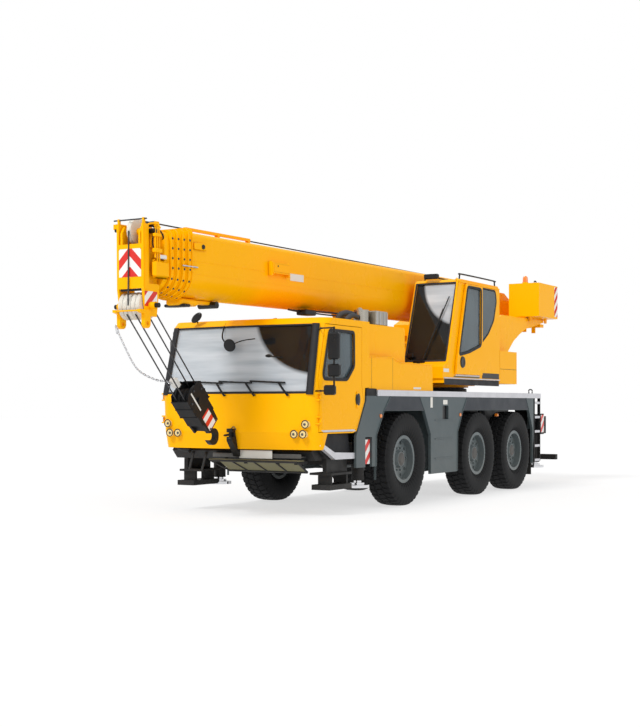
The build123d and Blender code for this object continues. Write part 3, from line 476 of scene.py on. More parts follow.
def tyreSurface(ring):
    # radius and offset of the wall are arcs of the bead, flank and crown; over the crown the
    # radius drops by the groove depth where the zigzag rings or the cross cuts run
    wall = np.array([(-0.118, 0.345), (-0.135, 0.362), (-0.166, 0.42), (-0.183, 0.49),
                     (-0.1875, 0.55), (-0.184, 0.60), (-0.176, 0.635), (-0.172, 0.642)])
    crown = np.linspace(-tyre["treadHalf"], tyre["treadHalf"], 30)
    height = tyre["radius"] - 0.012 * (np.abs(crown) / tyre["treadHalf"]) ** 3
    y = np.concatenate([wall[:, 0], crown, -wall[::-1, 0]])
    r = np.concatenate([wall[:, 1], height, wall[::-1, 1]])
    angle = np.linspace(0, 2 * pi, ring, endpoint=False)
    turn = angle[:, None] * tyre["blocks"] / (2 * pi)
    zigzag = np.abs((turn * 2) % 2 - 1) - 0.5
    inCrown = np.abs(y)[None] <= tyre["treadHalf"] + 0.012
    rings = sum(np.abs(y[None] - offset - 0.016 * zigzag) < 0.0065 for offset in (-0.06, 0.06))
    slant = turn + 1.2 * y[None] / tyre["treadHalf"] * 0.35
    shoulderCut = ((slant % 1) < 0.24) & (np.abs(y)[None] > 0.066)
    middleCut = (((turn + 0.5 - 2.0 * y[None]) % 1) < 0.16) & (np.abs(y)[None] < 0.056)
    cut = ((rings > 0) | shoulderCut | middleCut) & inCrown
    radius = r[None] - tyre["depth"] * cut
    return np.stack([radius * np.cos(angle)[:, None], np.broadcast_to(y, radius.shape),
                     radius * np.sin(angle)[:, None]], -1)


treadForm = tyreSurface(tyre["ring"])
for number, x in enumerate(axles, 1):
    for side, way in sides.items():
        form = treadForm * (1, way, 1) + (x, way * tyre["middleY"], tyre["radius"])
        inner = form[:, [0, -1]]
        piece = make(f"tread_{number}_{side}", f"wheel_{number}_{side}", "tyreRubber",
                     [form], closedRows=True, smooth=32)
        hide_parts(f"tyre_{number}_{side}")
print("tyres done")

# Wheel nuts and hub cap on each rim
hub = {"bolts": 10, "circle": 0.1675, "nut": 0.017, "face": 1.108, "length": 0.03}


def wheelNuts(x, way):
    shapes = []
    for angle in np.arange(hub["bolts"]) * 2 * pi / hub["bolts"]:
        centre = (x + hub["circle"] * cos(angle), way * hub["face"],
                  tyre["radius"] + hub["circle"] * sin(angle))
        shapes.append(turned([(0, hub["nut"] * 1.25), (0.008, hub["nut"] * 1.25),
                              (0.008, hub["nut"]), (hub["length"], hub["nut"]),
                              (hub["length"] + 0.006, hub["nut"] * 0.6)],
                             centre, (0, way, 0), 6))
    return shapes


for number, x in enumerate(axles, 1):
    for side, way in sides.items():
        make(f"wheelNuts_{number}_{side}", f"wheel_{number}_{side}", "wheelEnamel",
             wheelNuts(x, way))
        cap = turned([(0, 0.1), (0.004, 0.1), (0.02, 0.075), (0.026, 0.05), (0.026, 0.01)],
                     (x, way * 1.163, tyre["radius"]), (0, way, 0), 24)
        make(f"hubCap_{number}_{side}", f"wheel_{number}_{side}", "castSteel", [cap])
print("wheel details done")

# Small shapes for the trim
def rect(width, height, edge=0.002):
    # a rectangle with cut corners, as the profile of a bar
    w, h, e = width / 2, height / 2, min(edge, 0.4 * min(width, height))
    return np.array([(-w + e, -h), (w - e, -h), (w, -h + e), (w, h - e),
                     (w - e, h), (-w + e, h), (-w, h - e), (-w, -h + e)])


def grown(outline, by):
    # each corner of a closed outline moved outwards so that both its edges shift by "by"
    p = np.asarray(outline, float)
    edge = np.roll(p, -1, 0) - p
    edge /= np.linalg.norm(edge, axis=1, keepdims=True)
    normal = np.stack([edge[:, 1], -edge[:, 0]], -1)
    turn = normal + np.roll(normal, 1, 0)
    area = np.sum(p[:, 0] * np.roll(p[:, 1], -1) - np.roll(p[:, 0], -1) * p[:, 1])
    return p + np.sign(area) * by * turn * 2 / np.sum(turn ** 2, axis=1, keepdims=True)


def rounded(outline, radius, steps=4):
    # each corner replaced by a quadratic curve between points "radius" along its two edges
    p = np.asarray(outline, float)
    before, after = np.roll(p, 1, 0) - p, np.roll(p, -1, 0) - p
    ends = []
    for way in (before, after):
        length = np.linalg.norm(way, axis=1, keepdims=True)
        ends.append(p + way / length * np.minimum(radius, 0.45 * length))
    t = np.linspace(0, 1, steps)[None, :, None]
    start, stop = (end[:, None] for end in ends)
    curve = (1 - t) ** 2 * start + 2 * t * (1 - t) * p[:, None] + t ** 2 * stop
    return curve.reshape(-1, 2)


def band(outline, inner, outer, axis, low, high):
    # a closed frame: the outline grown by two amounts, at two depths
    rings = []
    for by, place in ((outer, low), (outer, high), (inner, high), (inner, low)):
        flat = grown(outline, by)
        point = np.empty((len(flat), 3))
        point[:, [k for k in range(3) if k != axis]] = flat
        point[:, axis] = place
        rings.append(point)
    return np.array(rings)


def ball(centre, sizes, rows=12, ring=20):
    # an ellipsoid: rings of radius sin(t) at height cos(t), stretched by its three sizes
    t = np.linspace(0.08, pi - 0.08, rows)[:, None, None]
    circle = closedRing(ring)[None]
    unit = np.concatenate([np.sin(t) * circle, np.broadcast_to(np.cos(t), (rows, ring, 1))], -1)
    return unit * np.asarray(sizes) + np.asarray(centre)


def disc(centre, axis, radius, depth, ring=24):
    return turned([(0, radius), (depth * 0.7, radius), (depth, radius * 0.9)], centre, axis, ring)


def boomBlock(low, high, edge=0.004):
    return onBoom(block(low, high, edge))


# Cab: glass, seals, pillars, wipers and mirrors
cabFace = {"heights": (0.89, 1.12, 1.624, 2.56, 2.635), "posts": (2.56, 2.622, 2.65, 2.415, 2.33),
           "bow": 1.07, "bulge": 0.07, "cornerX": -0.169, "cornerY": 1.0832,
           "cornerRadius": 0.1696}


def cabFront(y, z):
    # the post's place falls back with height; between the posts the face bows out as a
    # parabola, and beyond them it follows the corner's circle
    post = np.interp(z, cabFace["heights"], cabFace["posts"])
    away = np.abs(np.asarray(y, float))
    bowed = post + cabFace["bulge"] * (1 - np.minimum(away / cabFace["bow"], 1) ** 2)
    off = np.clip(away - cabFace["cornerY"], 0, cabFace["cornerRadius"] * 0.98)
    corner = post + cabFace["cornerX"] + np.sqrt(cabFace["cornerRadius"] ** 2 - off ** 2)
    return np.where(away > cabFace["bow"], corner, bowed)


def onCab(pairs, out, steps=12):
    # a path through (y, z) pairs, laid on the cab's face and lifted by "out"
    p = np.asarray(pairs, float)
    t = np.linspace(0, len(p) - 1, steps)
    y, z = (np.interp(t, np.arange(len(p)), p[:, k]) for k in (0, 1))
    return np.stack([cabFront(y, z) + out, y, z], -1)


cabTrim = {"screenLow": 1.65, "screenHigh": 2.53, "screenBase": 1.15, "screenTop": 1.12,
           "doorWindow": [(2.425, 1.81), (1.798, 1.81), (1.593, 2.002), (1.6, 2.475),
                          (2.29, 2.475), (2.455, 1.88)]}


def screenTrim():
    low, high = cabTrim["screenLow"], cabTrim["screenHigh"]
    base, top = cabTrim["screenBase"], cabTrim["screenTop"]
    shapes = []
    for half, z, width in ((base, low - 0.008, 0.03), (top, high + 0.006, 0.024)):
        line = onCab([(-half, z), (half, z)], 0.004, 24)
        shapes.append(carried(rect(width, 0.01), line, (1, 0, 0)))
    for way in (-1, 1):
        path = onCab([(way * (base + 0.01), 1.615), (way * (top + 0.01), 2.55)], 0.008, 14)
        shapes.append(carried(rect(0.1, 0.028, 0.012), path, (0.95, way * 0.3, 0.1)))
    return shapes


make("screenSeal", "carrier", "grainedPlastic", screenTrim(), smooth=50)

for side, way in sides.items():
    body = f"cab_door_{side[0]}"
    outline = rounded(cabTrim["doorWindow"], 0.05)
    glass = plate(grown(cabTrim["doorWindow"], -0.002), 1, way * 1.222, way * 1.228, 0.001)
    make(f"doorPane_{side}", body, "doorGlass", [glass])
    seal = band(outline, -0.03, 0.012, 1, way * 1.2505, way * 1.2575)
    make(f"doorSeal_{side}", body, "grainedPlastic", [seal], closedRows=True, smooth=30)
    handle = [ball((1.50, way * 1.2555, 1.555), (0.066, 0.012, 0.1), 10, 20)]
    make(f"doorHandle_{side}", body, "smoothPlastic", handle)

wiper = {"pivots": (-0.1, 0.369, 0.867), "foot": 1.60, "knee": (-0.16, 1.775),
         "tip": (-0.6, 1.795), "out": 0.03}
wiperShapes = []
for y in wiper["pivots"]:
    knee = (y + wiper["knee"][0], wiper["knee"][1])
    tip = (y + wiper["tip"][0], wiper["tip"][1])
    arm = onCab([(y, wiper["foot"]), knee], wiper["out"], 6)
    wiperShapes.append(carried(rect(0.026, 0.014), arm, (1, 0, 0)))
    spindle = onCab([(y, wiper["foot"]), (y - 0.005, wiper["foot"] + 0.01)], 0.015, 3)
    wiperShapes.append(pipe(spindle, 0.017))
    blade = onCab([(knee[0] + 0.09, knee[1] - 0.004), tip], 0.012, 10)
    wiperShapes.append(carried(rect(0.022, 0.02), blade, (1, 0, 0)))
    wiperShapes.append(pipe(onCab([knee, (knee[0] - 0.2, knee[1] + 0.012)], 0.026, 5), 0.007))
make("wipers", "carrier", "smoothPlastic", wiperShapes)

frontMirror = {"centre": (2.66, -0.075, 2.278), "radius": 0.088,
               "arm": [(2.44, -0.28, 2.585), (2.52, -0.27, 2.50), (2.6, -0.23, 2.38),
                       (2.65, -0.13, 2.30)]}
make("frontMirror", "carrier", "smoothPlastic", [
    turned([(-0.03, 0.05), (-0.012, 0.082), (0.0, frontMirror["radius"]), (0.012, 0.082),
            (0.016, 0.05)], frontMirror["centre"], (1, 0.15, -0.25), 28),
    hose(frontMirror["arm"], 0.011),
    hose([(2.66, 0.0, 2.30), (2.63, 0.12, 2.34), (2.61, 0.3, 2.36)], 0.008)])
cornerMirror = ball((0, 0, 0), (0.025, 0.1, 0.055), 12, 20)
turnMirror = radians(35)
spin = np.array([[1, 0, 0], [0, cos(turnMirror), -sin(turnMirror)],
                 [0, sin(turnMirror), cos(turnMirror)]])
make("cornerMirror", "carrier", "smoothPlastic", [
    cornerMirror @ spin.T + np.array([2.5, -0.73, 2.68]),
    hose([(2.36, -0.80, 2.62), (2.42, -0.80, 2.645), (2.47, -0.78, 2.66)], 0.011)])
make("innerMirror", "carrier", "smoothPlastic", [
    ball((2.56, 0.48, 2.125), (0.015, 0.06, 0.028)), pipe([(2.57, 0.53, 2.12), (2.57, 0.7, 2.11)],
                                                          0.007)])

lamp = {"rows": ((1.105, 1.228), (1.07, 1.098), (0.935, 1.098)), "radius": 0.05}
lampRings, lampEyes = [], []
around, section = closedRing(32), closedRing(8) * 0.006
for way in (-1, 1):
    for y, z in lamp["rows"]:
        # a torus: the ring's circle in y and z, swept by the wire's small circle
        reach = lamp["radius"] + section[None, :, 0]
        lampRings.append(np.stack([
            np.broadcast_to(2.666 + section[None, :, 1], (32, 8)),
            way * y + reach * around[:, None, 0], z + reach * around[:, None, 1]], -1))
        lampEyes.append(disc((2.6665, way * (y - 0.006), z - 0.002), (1, 0, 0), 0.018, 0.003, 18))
make("lampBezels", "carrier", "grainedPlastic", lampRings, closedRows=True)
make("lampEyes", "carrier", "castSteel", lampEyes)

jawTrim = [pipe([(2.752, 0, 1.03), (2.752, 0, 1.045)], 0.028), pipe([(2.752, 0, 1.13),
           (2.752, 0, 1.155)], 0.022), hose([(2.752, 0, 1.15), (2.75, 0.05, 1.19),
           (2.74, 0.085, 1.15)], 0.006)]
make("jawPin", "carrier", "castSteel", jawTrim)

# under the cab: blank number plate, tread step, black skirts, silver side bands, front step
apron = {"plate": ((2.575, 0.03, 0.765), (2.583, 0.55, 0.875)),
         "skirt": [(2.43, 1.092), (1.64, 1.092), (1.59, 0.84), (2.11, 0.84), (2.46, 0.99)],
         "bandOutline": [(2.495, 0.946), (2.09, 0.752), (1.548, 0.748), (1.548, 0.827),
                         (2.111, 0.849), (2.456, 0.985)]}
make("numberPlate", "carrier", "plateWhite", [block(*apron["plate"], 0.002)])
make("bumperLip", "carrier", "castSteel", [
    block((2.41, -0.42, 0.79), (2.552, 1.0, 0.80), 0.002),
    block((2.545, -0.42, 0.775), (2.556, 0.98, 0.832), 0.002)])
make("bumperTread", "carrier", "oliveTread", [
    block((2.556, -0.37, 0.742), (2.72, 1.03, 0.752), 0.002)])
treadFace = {"high": (2.715, 0.735), "low": (2.46, 0.595), "sides": (-0.35, 1.02), "cells": 5}
(hx, hz), (lx, lz) = treadFace["high"], treadFace["low"]
faceLine = [(hx, hz), (hx - 0.012, hz + 0.004), (lx - 0.012, lz + 0.004), (lx, lz)]
make("bumperGrip", "carrier", "oliveTread", [
    plate(faceLine, 1, treadFace["sides"][0] + 0.14, treadFace["sides"][1])])
across = np.linspace(treadFace["sides"][0], treadFace["sides"][1], treadFace["cells"])
make("bumperFrame", "carrier", "chassisBlack", [
    pipe([(hx, y, hz), (lx, y + 0.14 * (1 - k / (treadFace["cells"] - 1)), lz)], 0.014)
    for k, y in enumerate(across)] + [
    pipe([(hx, across[0], hz), (hx, across[-1], hz)], 0.016),
    pipe([(lx, across[0] + 0.14, lz), (lx, across[-1], lz)], 0.018)])
make("bumperStays", "carrier", "chassisBlack", [
    block((2.42, y - 0.02, 0.70), (2.70, y + 0.02, 0.742), 0.003) for y in (-0.3, 0.2, 0.7, 0.98)])
for side, way in sides.items():
    skirt = plate(apron["skirt"], 1, way * 1.165, way * 1.175)
    make(f"stepWell_{side}", "carrier", "grainedPlastic", [skirt])
    bandForm = plate(apron["bandOutline"], 1, way * 1.175, way * 1.235)
    make(f"sideBand_{side}", "carrier", "treadAluminium", [bandForm])
    strip = plate([(2.44, 1.122), (1.56, 1.122), (1.60, 1.148), (2.50, 1.148)], 1, way * 1.2503,
                  way * 1.2533)
    make(f"doorStrip_{side}", f"cab_door_{side[0]}", "treadAluminium", [strip])
make("frontStep", "carrier", "chassisBlack", [
    carried(rect(0.035, 0.02), smoothed([(2.48, -0.775, 0.90), (2.60, -0.775, 0.61),
                                         (2.61, -0.76, 0.595), (2.61, -0.58, 0.59),
                                         (2.60, -0.565, 0.605), (2.48, -0.565, 0.88)], 3),
            (0.5, 0, 1)),
    pipe([(2.50, -1.10, 0.90), (2.56, -0.80, 0.85)], 0.03)])

# Engine hood: panel joints, grilles and rain edge
hoodSkin = 1.2302
hood = {"grilles": ((-0.02, 0.42), (0.5, 0.95)), "low": 2.24, "high": 2.50, "slats": 9}
make("hoodSlats", "carrier", "yellowEnamel", [
    block((front, -1.1505, z), (rear, -1.1545, z + 0.014), 0.002)
    for front, rear in hood["grilles"]
    for z in np.linspace(hood["low"], hood["high"], hood["slats"])])
make("hoodSeams", "carrier", "grainedPlastic", [
    block((x, way * hoodSkin, 1.70), (x + 0.006, way * 1.2312, 2.165), 0.0004)
    for way in (-1, 1) for x in (1.05, 0.40)])
rainEdge = [(1.126, 2.150), (0.404, 2.160), (0.153, 2.094), (-0.92, 2.092)]
make("hoodEdge", "carrier", "yellowEnamel", [
    carried(rect(0.016, 0.02, 0.005), [(x, way * 1.231, z) for x, z in rainEdge], (0, way, 0))
    for way in (-1, 1)])
make("hoodRims", "carrier", "yellowEnamel", [
    block((0.42, way * 1.165, 2.168), (1.13, way * 1.235, 2.178), 0.003) for way in (-1, 1)])
make("nearLabel", "carrier", "plateWhite", [block((-0.28, hoodSkin, 1.715), (-0.53, 1.2314, 1.745),
                                                     0.0004)])

# Exhaust and pipes behind the cab
make("exhaustPipes", "carrier", "stainlessSheet", [
    hose([(0.86, 0.94, 2.74), (0.86, 0.94, 2.80), (0.80, 0.90, 2.826)], 0.05, 16),
    hose([(0.04, -0.8, 2.715), (0.04, -0.92, 2.715), (0.04, -1.0, 2.76), (0.04, -1.02, 2.82)],
         0.05, 16, (1, 0, 0))])
make("heatShield", "carrier", "stainlessSheet", [
    block((0.30, 0.86, 2.622), (0.66, 1.10, 2.83), 0.012)])
make("heatShieldRibs", "carrier", "hardChrome", [
    block((x, 1.1003, 2.63), (x + 0.012, 1.106, 2.82), 0.002) for x in (0.32, 0.43, 0.54, 0.635)])
make("exhaustElbows", "carrier", "castSteel", [
    hose([(1.10, 0.70, 2.62), (1.10, 0.74, 2.74), (1.02, 0.80, 2.78), (0.92, 0.86, 2.76)],
         0.045, 14),
    hose([(1.2, 0.9, 2.62), (1.18, 0.92, 2.70), (1.08, 0.95, 2.74), (0.98, 0.96, 2.72)],
         0.035, 14)])
make("exhaustBands", "carrier", "hardChrome", [
    turned([(0, 0.0925), (0.03, 0.0925)], (0.04, y, 2.715), (0, 1, 0), 40)
    for y in (-0.6, -0.1, 0.4, 0.8)])
make("intakeTubes", "carrier", "smoothPlastic", [
    hose([(0.62, 0.55, 2.63), (0.62, 0.55, 2.72), (0.66, 0.62, 2.76), (0.78, 0.72, 2.76)],
         0.045, 14),
    hose([(0.35, 0.3, 2.63), (0.35, 0.32, 2.70), (0.45, 0.4, 2.74), (0.62, 0.5, 2.72)],
         0.035, 14)])

# Side panels: arch panels, marker lamps, ribs, plates and hazard plates
panelSkin = 1.2623
arch = {"outlines": [[(0.525, 1.60), (-0.415, 1.60), (-0.57, 1.40), (0.72, 1.40)],
                     [(-2.19, 1.60), (-4.78, 1.60), (-4.905, 1.40), (-2.025, 1.40)]],
        "lamps": (0.846, -1.902), "lampZ": 1.326}
for side, way in sides.items():
    make(f"archPanels_{side}", "carrier", "archGrey",
         [plate(o, 1, way * panelSkin, way * 1.2663) for o in arch["outlines"]])
    make(f"sideMarkers_{side}", "carrier", "amberLens",
         [disc((x, way * 1.2625, arch["lampZ"]), (0, way, 0), 0.028, 0.014)
          for x in arch["lamps"]] + [disc((-3.513, way * 1.2, 1.312), (0, way, 0), 0.025, 0.05)])
    make(f"slotBack_{side}", "carrier", "smoothPlastic", [
        block((-1.455, way * 1.2255, 1.265), (-1.245, way * 1.2285, 1.465), 0.001)])
    make(f"sideLabels_{side}", "carrier", "plateWhite", [
        block((-0.80, way * panelSkin, 1.44), (-0.88, way * 1.2633, 1.60), 0.0004),
        block((-1.26, way * panelSkin, 1.49), (-1.42, way * 1.2633, 1.56), 0.0004)])
    make(f"panelEdges_{side}", "carrier", "slateEnamel", [
        carried(rect(0.012, 0.012), [(x, way * 1.266, z) for x, z in line], (0, way, 0))
        for line in ([(0.535, 1.605), (0.74, 1.40), (0.975, 1.05), (0.98, 0.62)],
                     [(-0.42, 1.605), (-0.58, 1.40), (-0.797, 1.046), (-0.803, 0.44)],
                     [(-2.18, 1.605), (-2.01, 1.40), (-1.803, 1.06), (-1.79, 0.44)],
                     [(-4.79, 1.605), (-4.92, 1.40), (-5.107, 1.05), (-5.115, 0.44)])])
    for end, places in (("front", {"left": 1.2, "right": 1.428}),
                        ("rear", {"left": -5.692, "right": -5.95})):
        z0, z1 = (0.66, 1.00) if end == "front" else (0.98, 1.30)
        x = places[side]
        make(f"hazardPlate_{end}_{side}", f"beam_{end}_{side}", "hazardSide",
             [block((x - 0.075, way * 1.2352, z0), (x + 0.075, way * 1.2382, z1), 0.001)])

# Deck: end caps, loops, ladder rungs and tread plates
deckTrim = {"rungs": [0.4825 + 0.26 * k for k in range(5)]}
for side, way in sides.items():
    make(f"rungs_{side}", "carrier", "treadAluminium", [
        block((-5.495, way * 1.203, z - 0.022), (-5.245, way * 1.262, z + 0.022), 0.003)
        for z in deckTrim["rungs"]])
    make(f"deckLoops_{side}", "carrier", "chassisBlack", [
        hose([(-5.10, way * 1.2, 1.693), (-5.10, way * 1.2, 1.75), (-5.18, way * 1.2, 1.765),
              (-5.26, way * 1.2, 1.75), (-5.26, way * 1.2, 1.693)], 0.011)])
    make(f"deckCap_{side}", "carrier", "chassisBlack", [
        block((0.945, way * 1.16, 1.60), (1.255, way * 1.255, 1.71), 0.006)])
make("deckTread", "carrier", "treadAluminium", [
    block((-5.3, -1.2, 1.6933), (-4.2, -0.7, 1.6963), 0.001),
    block((-5.3, 0.7, 1.6933), (-4.2, 1.2, 1.6963), 0.001)])

# Rear: lamp clusters on the cross tube and the coupling hook
rearLamps = [block((-6.506, way * y0, 0.46), (-6.5003, way * y1, 0.54), 0.001)
             for way in (-1, 1) for y0, y1 in ((0.85, 1.0), (1.02, 1.2))]
make("rearLamps", "carrier", "redLens", rearLamps)
make("rearHook", "carrier", "castSteel", [
    hose([(-6.08, 0.35, 0.95), (-6.3, 0.35, 0.93), (-6.4, 0.35, 0.95), (-6.44, 0.35, 1.01)],
         0.018)])

# Crane cab: panes, seals, rails, handle, wiper, lamps and platform
craneSkin = 1.2052
craneCab = {"doorWindow": [(-1.915, 2.29), (-2.245, 3.39), (-2.79, 3.39), (-2.775, 2.47),
                           (-2.3, 2.35)],
            "rearWindow": [(-2.925, 3.42), (-3.5, 3.42), (-3.55, 3.25), (-3.43, 2.92),
                           (-3.2, 2.69), (-2.925, 2.53)]}
make("craneDoorPane", "crane_door", "doorGlass",
     [plate(grown(craneCab["doorWindow"], -0.002), 1, 1.225, 1.231, 0.001)])
make("craneDoorSeal", "crane_door", "grainedPlastic",
     [band(rounded(craneCab["doorWindow"], 0.05), -0.012, 0.028, 1, 1.2503, 1.2553)],
     closedRows=True, smooth=30)
make("craneRearSeal", "superstructure", "grainedPlastic",
     [band(rounded(craneCab["rearWindow"], 0.05), -0.012, 0.02, 1, craneSkin, 1.206)],
     closedRows=True, smooth=30)
make("craneRearPane", "superstructure", "doorGlass",
     [plate(grown(craneCab["rearWindow"], -0.004), 1, 1.2008, 1.2028, 0.0005)])
make("craneDoorHandle", "crane_door", "smoothPlastic", [
    turned([(0, 0.095), (0.012, 0.09), (0.018, 0.07), (0.014, 0.055)], (-2.03, 1.2503, 2.17),
           (0, 1, 0), 28)])
make("craneRoofRails", "superstructure", "chassisBlack", [
    hose([(-2.1, y, 3.51), (-2.12, y, 3.58), (-2.2, y, 3.6), (-3.5, y, 3.6), (-3.56, y, 3.58),
          (-3.58, y, 3.51)], 0.013) for y in (0.55, 1.16)])
make("craneRoofLamp", "superstructure", "grainedPlastic", [
    block((-1.99, 0.62, 3.52), (-1.90, 0.86, 3.60), 0.012)])
make("cranePostTube", "superstructure", "yellowEnamel", [
    hose([(-2.0, 1.15, 3.50), (-1.93, 1.195, 3.40), (-1.60, 1.195, 2.32), (-1.53, 1.195, 2.12),
          (-1.56, 1.16, 2.08)], 0.016)])
make("craneScreenSeal", "superstructure", "grainedPlastic", [
    carried(rect(0.03, 0.012), [(-1.528 - 0.008, y, 2.172), (-1.975, y, 3.455)], (0.95, 0, 0.33))
    for y in (0.466, 1.169)] + [
    carried(rect(0.03, 0.012), [(x, 0.46, z), (x, 1.175, z)], (0.95, 0, 0.33))
    for x, z in ((-1.541, 2.18), (-1.972, 3.445))])
make("craneWiper", "superstructure", "smoothPlastic", [
    pipe([(-1.505, 0.72, 2.16), (-1.52, 0.80, 2.22), (-1.79, 1.02, 3.02)], 0.009),
    carried(rect(0.014, 0.018), [(-1.63, 0.90, 2.56), (-1.87, 1.09, 3.22)], (0.95, 0, 0.33)),
    turned([(0, 0.03), (0.03, 0.03)], (-1.53, 0.72, 2.15), (1, 0, 0.3), 16),
    block((-1.54, 0.62, 2.15), (-1.50, 0.82, 2.19), 0.008)])
make("craneFrontMirror", "superstructure", "smoothPlastic", [
    block((-1.545, 0.50, 2.24), (-1.50, 0.62, 2.30), 0.01),
    hose([(-1.50, 0.44, 2.1), (-1.44, 0.45, 2.17), (-1.48, 0.5, 2.26)], 0.01)])
make("craneSill", "superstructure", "treadAluminium", [
    block((-3.67, craneSkin, 1.8985), (-1.40, 1.2252, 1.916), 0.002),
    block((-2.82, craneSkin, 1.945), (-1.86, 1.209, 1.97), 0.001)])
make("craneWell", "superstructure", "grainedPlastic", [
    block((-3.66, craneSkin, 1.803), (-1.42, 1.2082, 1.895), 0.001)])
make("craneTreadStrip", "superstructure", "oliveTread", [
    block((-1.78, craneSkin, 1.925), (-2.82, 1.2092, 1.944), 0.001)])
make("craneRecess", "superstructure", "smoothPlastic", [
    block((-3.66, craneSkin, 1.925), (-2.93, 1.2092, 2.015), 0.001)])
make("craneLabel", "superstructure", "plateWhite", [
    block((-1.40, craneSkin, 2.0), (-1.60, 1.2062, 2.055), 0.0004)])

# Tail: hazard corners, beacons and tie-down lugs
for side, way in sides.items():
    make(f"beacon_{side}", "superstructure", "amberLens", [
        turned([(0, 0.05), (0.085, 0.046), (0.108, 0.034), (0.117, 0.016)],
               (-5.7, way * 0.9, 3.771), (0, 0, 1), 24)])
    make(f"tailEye_{side}", "superstructure", "castSteel", [
        hose([(-5.9, way * 1.0, 3.73), (-5.9, way * 1.0, 3.79), (-5.95, way * 1.0, 3.81),
              (-6.0, way * 1.0, 3.79), (-6.0, way * 1.0, 3.73)], 0.012)])
print("cab, hood, side and tail trim done")


# Boom head: warning film, guards, boxes and pins
end = 10.625
make("headChevron", "tele_4", "hazardChevron", [
    boomBlock((end + 0.0003, -0.165, -0.15), (end + 0.0023, 0.165, 0.185), 0.0006)])
make("headSidePlate", "tele_4", "hazardSide", [
    boomBlock((end - 0.26, 0.2003, -0.50), (end - 0.02, 0.2025, -0.32), 0.0006)])
make("headDark", "tele_4", "smoothPlastic", [
    boomBlock((end - 0.024, -0.15, -0.318), (end - 0.004, 0.15, -0.292), 0.002),
    pipe(onBoom([(end - 0.05, -0.255, 0.42), (end - 0.05, -0.2, 0.42)]), 0.022),
    pipe(onBoom([(end - 0.15, 0.15, 0.40), (end - 0.15, 0.27, 0.40)]), 0.03),
    pipe(onBoom([(end - 0.13, 0.28, -0.49), (end - 0.13, 0.33, -0.49)]), 0.03),
    pipe(onBoom([(end - 0.13, -0.28, -0.49), (end - 0.13, -0.33, -0.49)]), 0.03),
    pipe(onBoom([(end - 0.28, -0.14, 0.50), (end - 0.28, 0.16, 0.50)]), 0.035, 16),
    pipe(onBoom([(end + 0.03, -0.24, -0.55), (end + 0.03, 0.19, -0.55)]), 0.008)])
make("headTopRod", "tele_4", "castSteel", [
    pipe(onBoom([(end - 0.03, -0.26, 0.535), (end - 0.03, 0.23, 0.535)]), 0.009)])
make("headPosts", "tele_4", "yellowEnamel", [
    boomBlock((end - 0.05, y - 0.012, 0.45), (end - 0.012, y + 0.012, 0.55), 0.002)
    for y in (-0.185, 0.185)] + [
    boomBlock((end - 0.20, -0.30, 0.435), (end - 0.06, -0.2003, 0.50), 0.004),
    boomBlock((end - 0.30, 0.1503, 0.20), (end - 0.18, 0.20, 0.42), 0.012),
    boomBlock((end - 0.44, 0.2003, -0.16), (end - 0.13, 0.27, 0.06), 0.03),
    boomBlock((end - 0.33, 0.15, 0.44), (end - 0.26, 0.19, 0.53), 0.004),
    boomBlock((end - 0.02, 0.2003, -0.30), (end - 0.10, 0.206, 0.47), 0.001)])
make("headSensor", "tele_4", "plateWhite", [
    boomBlock((end - 0.38, 0.2003, 0.075), (end - 0.24, 0.262, 0.125), 0.006)])
make("headHoses", "tele_4", "smoothPlastic", [
    hose(onBoom([(end - 0.30, 0.22, 0.10), (end - 0.20, 0.23, 0.12), (end - 0.17, 0.21, 0.25),
                 (end - 0.19, 0.205, 0.38)]), 0.008),
    hose(onBoom([(end - 0.36, 0.16, 0.30), (end - 0.34, 0.24, 0.33), (end - 0.30, 0.22, 0.42),
                 (end - 0.22, 0.18, 0.46)]), 0.009)])
make("headPipes", "tele_4", "yellowEnamel", [
    pipe(onBoom([(end - 0.23 + 0.04 * k, 0.262, -0.02 + 0.05 * k),
                 (end - 0.23 + 0.04 * k, 0.262, 0.44)]), 0.011) for k in range(3)] + [
    hose(onBoom([(end - 0.25, 0.262, 0.44), (end - 0.25, 0.22, 0.49), (end - 0.16, 0.18, 0.49),
                 (end - 0.10, 0.16, 0.45)]), 0.012),
    boomBlock((end - 0.26, 0.245, 0.14), (end - 0.11, 0.29, 0.19), 0.006),
    boomBlock((end - 0.25, 0.245, 0.33), (end - 0.12, 0.285, 0.37), 0.006)])
make("headRope", "tele_4", "wireRope", [
    pipe(onBoom([(end + 0.001, -0.015, 0.40), (end + 0.024, -0.015, -0.49)]), 0.009)])

# Telescopic sections: collar ribs and wear pad bolts
collars = {"front": 9.9, "pitch": 0.096, "half": 0.295, "top": 0.455, "round": -0.055}


def sectionLine(grow, count=40):
    # the section's outline: half circle below, straight walls, rounded top corners
    a = np.linspace(pi, 2 * pi, count)
    half, top = collars["half"] + grow, collars["top"] + grow
    low = np.stack([half * np.cos(a), collars["round"] + half * np.sin(a)], -1)
    c = np.linspace(0, pi / 2, 6)
    right = np.stack([half - 0.07 + 0.07 * np.cos(c), top - 0.07 + 0.07 * np.sin(c)], -1)
    left = np.stack([-half + 0.07 - 0.07 * np.sin(c), top - 0.07 + 0.07 * np.cos(c)], -1)
    return np.vstack([low, right, left])


def collarRib(u, width, low, high):
    rings = []
    for by, place in ((high, u), (high, u + width), (low, u + width), (low, u)):
        line = sectionLine(by)
        rings.append(onBoom(np.stack([np.full(len(line), place), line[:, 0], line[:, 1]], -1)))
    return np.array(rings)


